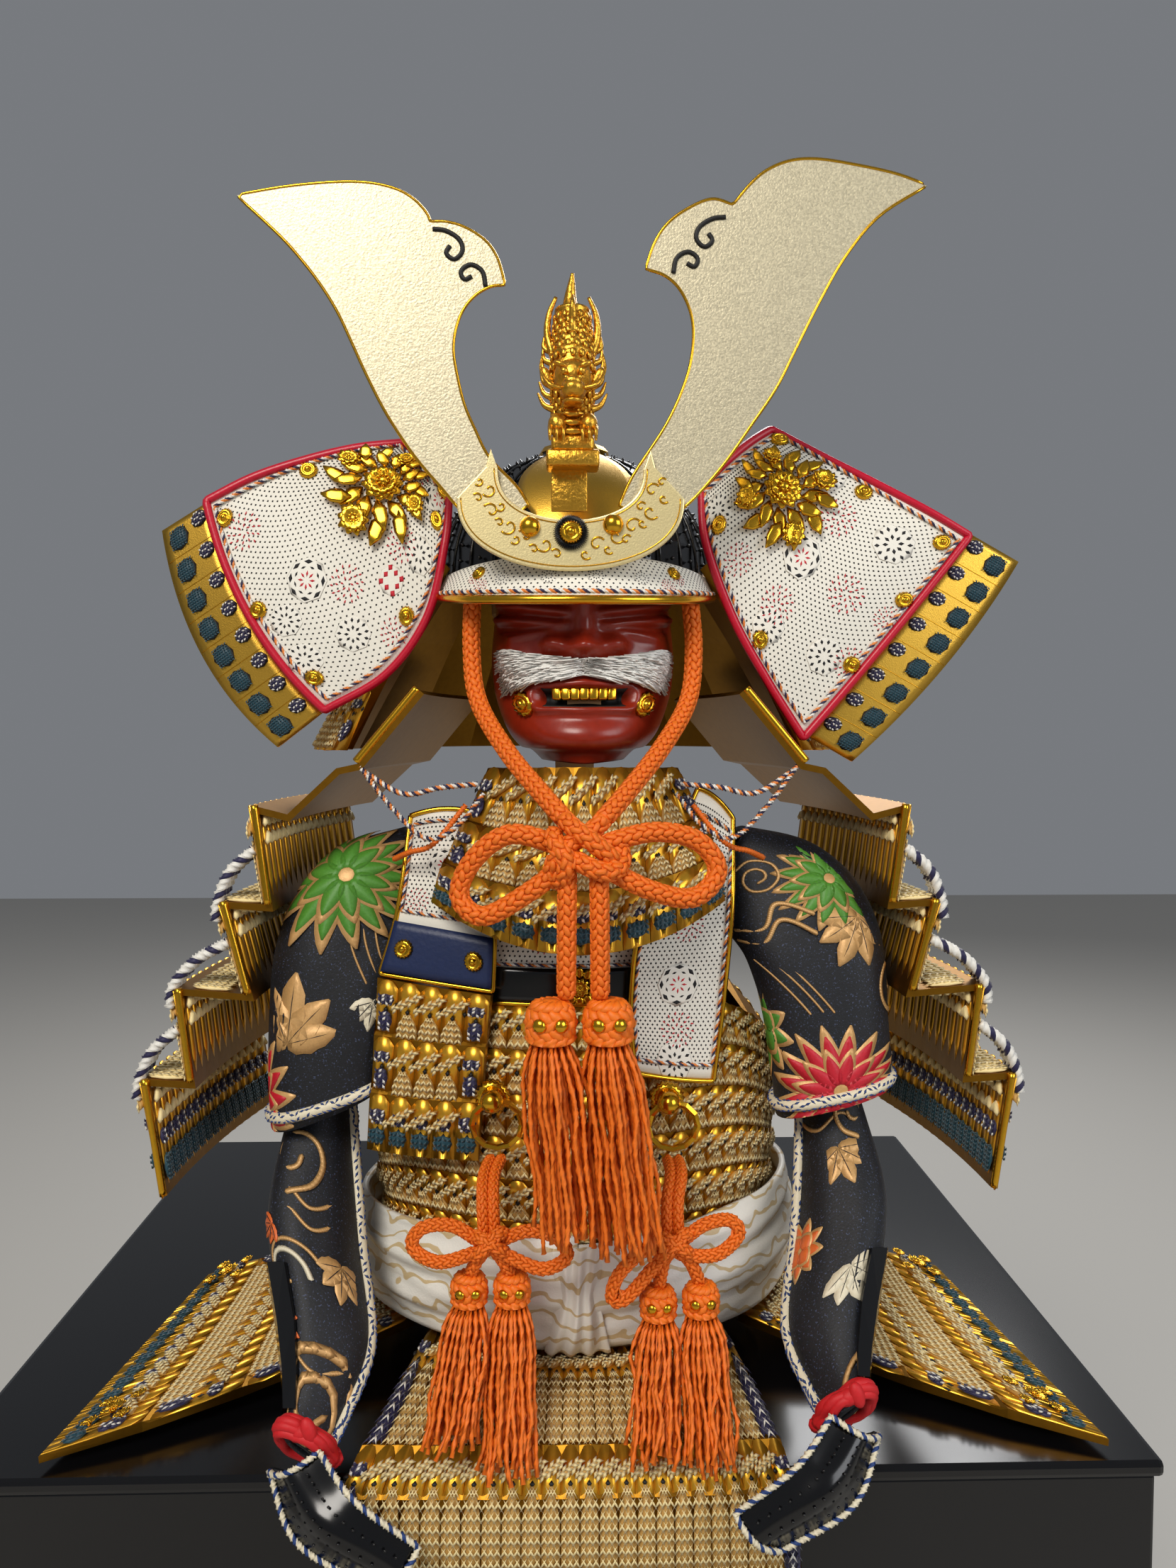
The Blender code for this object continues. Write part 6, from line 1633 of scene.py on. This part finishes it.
def folds(seed, deep):
    """Height of soft folds over a sleeve, from a seed and a depth."""
    def lift(u, v):
        a = math.tau * u
        fold = (0.55 * np.sin(3 * a + seed + 4 * v) + 0.45 * np.sin(5 * a - 7 * v + seed * 2)
                + 0.2 * np.sin(9 * a + 11 * v))
        return deep * fold * np.sin(math.pi * np.clip(v * 1.15, 0, 1)) ** 0.5
    return lift


def find(surface, x, z):
    """The (u, v) of a front point of a surface, from where the photo shows it."""
    u, v = np.meshgrid(np.linspace(0, 1, 241), np.linspace(0, 1, 121))
    at = surface(u, v)
    miss = np.hypot(at[..., 0] - x, at[..., 2] - z) + 0.02 * (at[..., 1] + 120)
    best = np.unravel_index(np.argmin(miss), miss.shape)
    return u[best], v[best]


SLEEVE = [(-51.6, -3.0, 176.0, 10.5, 27.0, -50.0, 0.0), (-67.0, -8.0, 165.0, 17.5, 32.5, -36.0, 0.06),
          (-80.5, -13.0, 147.0, 18.5, 34.0, -14.0, 0.14), (-86.2, -16.5, 121.0, 17.0, 34.0, 0.0, 0.18),
          (-88.0, -18.0, 93.0, 16.2, 33.5, 22.0, 0.18)]
FOREARM = [(-87.0, -22.0, 106.0, 8.5, 14.0, -4.0, 0.0), (-89.0, -28.0, 82.0, 12.0, 15.0, -10.0, 0.0),
           (-87.5, -47.0, 54.0, 16.5, 18.5, -18.0, 0.0), (-80.0, -69.0, 31.0, 15.5, 15.5, -22.0, 0.0),
           (-79.5, -88.0, 17.0, 9.5, 9.5, -30.0, 0.0), (-81.0, -100.0, 10.5, 6.5, 6.5, -34.0, 0.0)]
GUARD = [((-90.4, -99.9, 5.3), (-84.0, -106.5, 8.9), (-75.0, -104.2, 13.8)),
         ((-80.0, -112.0, -8.0), (-71.0, -118.0, -1.0), (-63.0, -114.5, 5.5)),
         ((-58.5, -114.0, -20.0), (-50.5, -118.0, -15.0), (-45.0, -115.0, -8.0))]
STREAM = [(-13, 3), (-5, -4), (4, 1), (13, -3)]
STALK = [(-7, -10), (0, 0), (7, 9)]
MOTIFS = {
    "left": {"sleeve": [(chrysanthemum(25.0, 1, 15), -77, 172, 0.2),
                        (chrysanthemum(25.0, 2, 15), -105, 95, 0.0),
                        (veined_leaf(25.0), -96, 117, 3.2), (veined_leaf(10.0, 4), -67, 131, 0.0),
                        (swirl(7.0), -62, 172, 0.0),
                        (woven_line(STALK, 0.9), -70, 149, 0.0), (woven_line(STALK, 0.9), -66, 149, 0.0),
                        (woven_line(STALK, 0.9), -74, 147, 0.0)],
             "forearm": [(swirl(12.0, 1.2, 2.2), -94, 80, 0.0), (woven_line(STREAM, 1.6), -90, 68, 0.0),
                         (woven_line(STREAM, 1.6), -89, 63, 0.0),
                         (swirl(9.0, 0.8, 2.4, 4), -92, 51, 1.0), (swirl(13.0, 0.7, 1.8), -91, 51, 1.2),
                         (veined_leaf(13.0), -75, 50, 0.2), (veined_leaf(11.0, 5, 3), -92, 38, 5.2),
                         (swirl(14.0, 2.2, 2.2), -79, 21, 0.0),
                         (woven_line(STREAM, 1.6), -84, 31, 0.0), (veined_leaf(7.0, 1), -76, 7, 4.0),
                         (veined_leaf(8.0, 5), -98, 62, 1.0)]},
    "right": {"sleeve": [(chrysanthemum(19.0, 1, 14), 86, 170, 0.2),
                         (chrysanthemum(24.0, 2, 17, 0.85), 88, 101, 0.0),
                         (veined_leaf(19.0), 95, 158, 5.6), (swirl(11.0, 1.0, 2.4), 107, 134, 2.0),
                         (chrysanthemum(14.0, 1, 9), 60, 118, 0.0),
                         (woven_line(STREAM, 1.8), 66, 156, 0.0),
                         (woven_line(STREAM, 1.8), 66, 151, 0.0), (swirl(8.0), 62, 170, 1.0),
                         (woven_line([(7, -10), (0, 0), (-7, 9)], 0.9), 73, 136, 0.0),
                         (woven_line([(7, -10), (0, 0), (-7, 9)], 0.9), 77, 136, 0.0),
                         (woven_line([(7, -10), (0, 0), (-7, 9)], 0.9), 69, 136, 0.0)],
              "forearm": [(veined_leaf(13.0), 88, 80, 0.3), (veined_leaf(15.0, 4), 86, 52, 0.4),
                          (chrysanthemum(10.0, 5, 9), 73, 50, 0.0),
                          (swirl(12.0, 1.4, 2.0), 85, 27, 0.5), (swirl(7.0, 1.2, 1.6), 94, 90, 0.0),
                          (woven_line(STREAM, 1.5), 86, 86, 0.0), (woven_line(STREAM, 1.5), 86, 16, 0.0)]},
}
for side, name, shift, arm_shift, end, low in ((1, "left", 0.0, 0.6, (0.0, 0.0), SLEEVE[-1]),
                                               (-1, "right", 4.0, 1.8, (-4.2, 9.0),
                                                (-88.0, -18.0, 94.0, 16.2, 33.5, -14.0, 0.18))):
    upper = ring_tube(SLEEVE[:-1] + [low], side, shift, 2.6, narrow=0.7)
    lower = ring_tube(FOREARM, side, arm_shift, 2.1, pitch_share=0.8, end=end)
    for part, surface, columns, thick, seed, deep, flat in (
            ("sleeve", upper, 52, 2.0, 0.6 if side > 0 else 2.0, 0.8, (0.165, 0.090)),
            ("forearm", lower, 40, 1.6, 1.2, 0.6, (0.085, 0.135))):
        v = np.linspace(0, 1, 24)
        ring = surface(*np.meshgrid(np.arange(12) / 12, v))
        middle = ring.mean(1)
        way = from_line(middle)
        lift = folds(seed, deep)
        cloth = shell("%s_cloth_%s" % (part, name), surface, way, columns, 36, thick, BROCADE,
                      closed=True, lift=lift)
        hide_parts("%s_%s" % (part, name))
        parts = []
        for motif, x, z, turn in MOTIFS[name][part]:
            u, v = find(surface, x, z)
            parts.append(strew(motif, surface, way, u, v, turn=turn,
                               lift=float(lift(np.array(u), np.array(v)))))
        woven = piece("%s_flowers_%s" % (part, name), parts, WEFT)
        if part == "sleeve":
            edge_u, edge_v = np.linspace(0, 1, 181), np.full(181, 0.965)
        else:
            edge_u, edge_v = np.full(90, 0.955), np.linspace(0.02, 0.90, 90)
        line = on(surface, edge_u, edge_v, 0.2 + lift(edge_u, edge_v), way)
        hem = [pipe(line, 1.9, 10)]
        dash = grain(2.4, 0.9, 0.8, 4, 2, 6)
        luck = np.random.default_rng(5)
        run = tube(line, 1.9)
        count = int(np.linalg.norm(np.diff(line, axis=0), axis=1).sum() / 1.7)
        for k in range(5):
            hem.append(strew(dash, run, from_line(line),
                             np.full(count, k / 5) + luck.uniform(-.06, .06, count),
                             (np.arange(count) + 0.5) / count, turn=luck.uniform(-1, 1, count)))
        band = piece("%s_hem_%s" % (part, name), hem, [WEFT[4]] * 6 + [WEFT[6]])
        if part == "forearm":
            cords = []
            for k, v0 in enumerate((0.925, 0.945, 0.965, 0.985)):
                u = np.linspace(0, 1, 49)
                loop = on(surface, u, np.full(49, v0), 1.6 + 0.7 * np.sin(u * 30 + k)
                          + (1.0 if k in (1, 2) else 0), way)
                cords.append(pipe(loop, 1.5, 8))
            at = surface(np.array(0.75), np.array(0.95))
            cords += [lump(at[0], at[1] - 1.5, at[2] + 1.0, 8.0, 5.0, 5.0, 0.5),
                      lump(at[0] + 2, at[1] - 2.5, at[2] + 2.0, 4.5, 4.0, 8.0, 0.3)]
            made = piece("red_wrist_tie_" + name, cords, [RED_SILK])
            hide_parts("wrist_tie_" + name)


# Hand guards. Black lacquered plates edged with the sleeve's printed band and small rivets.
for side, name in ((1, "left"), (-1, "right")):
    sections = GUARD if side > 0 else [tuple((-1.9 - p[0], p[1], p[2] + 8.1)
                                             for p in (s[2], s[1], s[0])) for s in GUARD]
    surface, way = patch(sections), (0, -1, 0.3)
    made = shell("lacquered_hand_guard_" + name, surface, way, 24, 24, 1.5, BLACK,
                 lift=lambda u, v: 0.5 * np.cos(5 * u) - 0.5)
    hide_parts("hand_guard_" + name)
    around = border(surface, 0.02, [(-1, 0), (1, 0), (1, 1), (-1, 1), (-1, 0)], lift=0.1, way=way)
    piece("hand_guard_edge_" + name, [rope(around, 1.2, 3, 4.5, (0, 0, 1))], [WEFT[4], WEFT[6]])
    t = np.linspace(0.1, 0.9, 12)
    dot = grain(0.9, 0.9, 0.9, 6, 4)
    piece("hand_guard_rivets_" + name,
          [strew(dot, surface, way, np.full(12, k), t, lift=0.3) for k in (-0.5, 0.0, 0.5)], [IRON])


# Shoulder guards. Stepped rows of fluted gilt lames; ecru laces tie them inside, navy and white
# braids run down their front edge, and the lowest row has teal blocks.
PLATES = (((106.5, 196.0), (102.5, 163.5)), ((117.0, 164.5), (109.4, 134.0)),
          ((132.0, 136.0), (128.5, 105.0)),
          ((143.5, 106.0), (138.0, 67.0)))


def sode_face(a, b, side, shift):
    """One plate of a shoulder guard: u from its front edge to its back, v from top to bottom."""
    def surface(u, v):
        out, z = a[0] + (b[0] - a[0]) * v, a[1] + (b[1] - a[1]) * v
        y = -50.0 + 98.0 * (u + 1) / 2
        bow = 3.0 * (1 - u * u)
        return np.stack([side * (out - 0.12 * (y + 50.0) + bow) + shift, y, z], -1)
    return surface


for side, name, shift in ((-1, "left", 0.8), (1, "right", 3.0)):
    outside, inside = (side, 0, 0.2), (-side, 0, -0.1)
    for i, (a, b) in enumerate(PLATES):
        surface = sode_face(a, b, side, shift)
        high = a[1] - b[1]
        laced("sode_row_%s_%d" % (name, i + 1), surface, outside, 1, 16, high, 6.1, bottom=i == 3, tip=1.2)
        u = -1 + (np.arange(16) + 0.5) / 8
        flute = grain(high * 0.96, 5.0, 1.8, 6, 3, 0)
        tie = merged([moved(grain(5.6, 2.4, 2.4, 4, 3, 2), (-1.1, 0, 0.4), 0.6),
                      moved(grain(5.6, 2.4, 2.4, 4, 3, 2), (1.1, 0, 0.4), -0.6)])
        parts = [strew(flute, surface, inside, u, 0.5, lift=2.1),
                 strew(tie, surface, inside, u, 0.16, lift=2.9),
                 strew(tie, surface, inside, u, 0.34, lift=2.9)]
        if i == 3:
            oval = bar(1.0, 1.0, 5.0, 5.4, 0.0, 0.0, (4, 5))
            parts += [strew(oval, surface, inside, u, 0.52, lift=2.9),
                      strew(bar(1.0, 1.0, 5.6, 9.0, 0.0, 0.0, (3,)), surface, inside, u, 0.78, lift=2.9)]
        piece("sode_inside_%s_%d" % (name, i + 1), parts, ROW_PAINTS)
        rim = on(surface, np.full(20, -1.0), np.linspace(0, 1, 20), np.full(20, -1.0), outside)
        piece("sode_edge_%s_%d" % (name, i + 1), [pipe(rim + (0, -0.6, 0), 1.3, 8)], [GILT])
        if i < 3:
            tread = sode_face(b, PLATES[i + 1][0], side, shift)
            plait = bar(1.0, 1.0, 5.0, 13.0, 0.0, 0.0, (2,), 2.6)
            piece("sode_laces_%s_%d" % (name, i + 1), [strew(plait, tread, (0, 0, -1), u, 0.5, lift=2.0),
                                                       strew(plait, tread, (0, 0, 1), u, 0.5,
                                                             lift=0.6)], ROW_PAINTS)
            start = sode_face(a, b, side, shift)(np.array(-0.97), np.array(0.45))
            stop = sode_face(*PLATES[i + 1], side, shift)(np.array(-0.97), np.array(0.05))
            for k in range(3):
                drop = np.array([0, 3.2 * k, 0])
                keys = [start + drop + (side * 1.5, 0, 0),
                        (start + stop) / 2 + drop + (side * 3.6, 0, 2.0),
                        stop + drop + (side * 1.5, 0, 2.0),
                        stop + drop + (side * 2.5, 0, -5.0)]
                line = even(keys, 36)[0]
                piece("sode_braid_%s_%d_%d" % (name, i + 1, k + 1),
                      [rope(line, 2.1, 3, 7.0, (0, 1, 0))], [WHITE, NAVY])
    top = sode_face((52.0, 233.5), (72.0, 209.5), side, shift)
    line = on(top, np.full(30, -0.98), np.linspace(0, 1, 30), np.full(30, 0.8), (side, 0, 1))
    piece("sode_board_edge_" + name, [pipe(line, 1.5, 8)], [GILT])


# Shoulder cords. Thin three-colour braids and orange ones that tie the guards at the shoulders.
for side, name in ((-1, "left"), (1, "right")):
    for number, keys in enumerate(([(30, -57, 200), (38, -62, 190), (48, -60, 186), (60, -55, 196),
                                    (71, -49, 209)],
                                   [(32, -55, 203), (44, -58, 202), (56, -55, 200), (70, -47, 207)],
                                   [(36, -52, 196), (46, -56, 184), (54, -54, 181), (60, -47, 178)])):
        line, length = even([(side * x + (2 if side > 0 else 0), y, z) for x, y, z in keys], 60)
        paints = [ORANGE, ORANGE, ORANGE] if number == 2 else [WHITE, NAVY, ORANGE_THREAD]
        made = piece("shoulder_cord_%s_%d" % (name, number + 1), [rope(line, 1.1, 3, 3.6, PIPING)],
                     paints)
        world(line)[0]
        world(line)


# Skirt ornaments. Cast gilt flower plates at the ends of the side skirts' lowest row.
for name, sections in (("left", SKIRT_SIDE), ("right", mirrored(SKIRT_SIDE, 0.6))):
    surface, parts = patch(sections), []
    for u, v in ((-0.82, 0.86), (0.82, 0.86)):
        for dx, dy, r in ((0, 0, 4.2), (-5, 4, 3.0), (5, -5, 3.0), (4, 5, 2.8), (-5, -5, 2.8)):
            parts.append(strew(moved(bloom(r, 1), (dx, dy, 0)), surface, (0, 0, 1), u, v, lift=2.2))
    piece("skirt_ornament_" + name, parts, [GILT])


# Floor and light. A plain pale floor and soft studio lamps: a broad one over the camera, two at
# the sides and a dim sky.
floor_mesh = bmesh.new()
bmesh.ops.create_grid(floor_mesh, x_segments=1, y_segments=1, size=3.0)
floor_data = bpy.data.meshes.new("floor")
floor_mesh.to_mesh(floor_data)
floor_mesh.free()
floor_data.materials.append(material("pale floor", "B9B6B0", 0.0, 0.8))
floor = bpy.data.objects.new("floor", floor_data)
bpy.context.scene.collection.objects.link(floor)
for name, place, energy, size, warm in (("key", (-0.55, -1.25, 1.55), 22.0, 0.7, (1.0, 0.95, 0.88)),
                                        ("fill", (1.15, -0.9, 0.95), 8.0, 0.8, (0.95, 0.97, 1.0)),
                                        ("rim", (0.3, 1.3, 1.5), 16.0, 0.8, (1.0, 1.0, 1.0))):
    lamp = bpy.data.lights.new(name, "AREA")
    lamp.energy, lamp.size, lamp.color = energy, size, warm
    made = bpy.data.objects.new(name, lamp)
    made.location = place
    aim = np.array((0.0, 0.0, 0.42)) - np.array(place)
    made.rotation_euler = (math.pi / 2 - math.atan2(-aim[2], math.hypot(aim[0], aim[1])), 0.0,
                           math.atan2(aim[1], aim[0]) - math.pi / 2)
    bpy.context.scene.collection.objects.link(made)
sky = bpy.data.worlds.new("sky")
sky.use_nodes = True
sky.node_tree.nodes["Background"].inputs["Color"].default_value = (0.62, 0.65, 0.70, 1.0)
sky.node_tree.nodes["Background"].inputs["Strength"].default_value = 0.30
bpy.context.scene.world = sky
bpy.context.scene.view_settings.view_transform = "Standard"
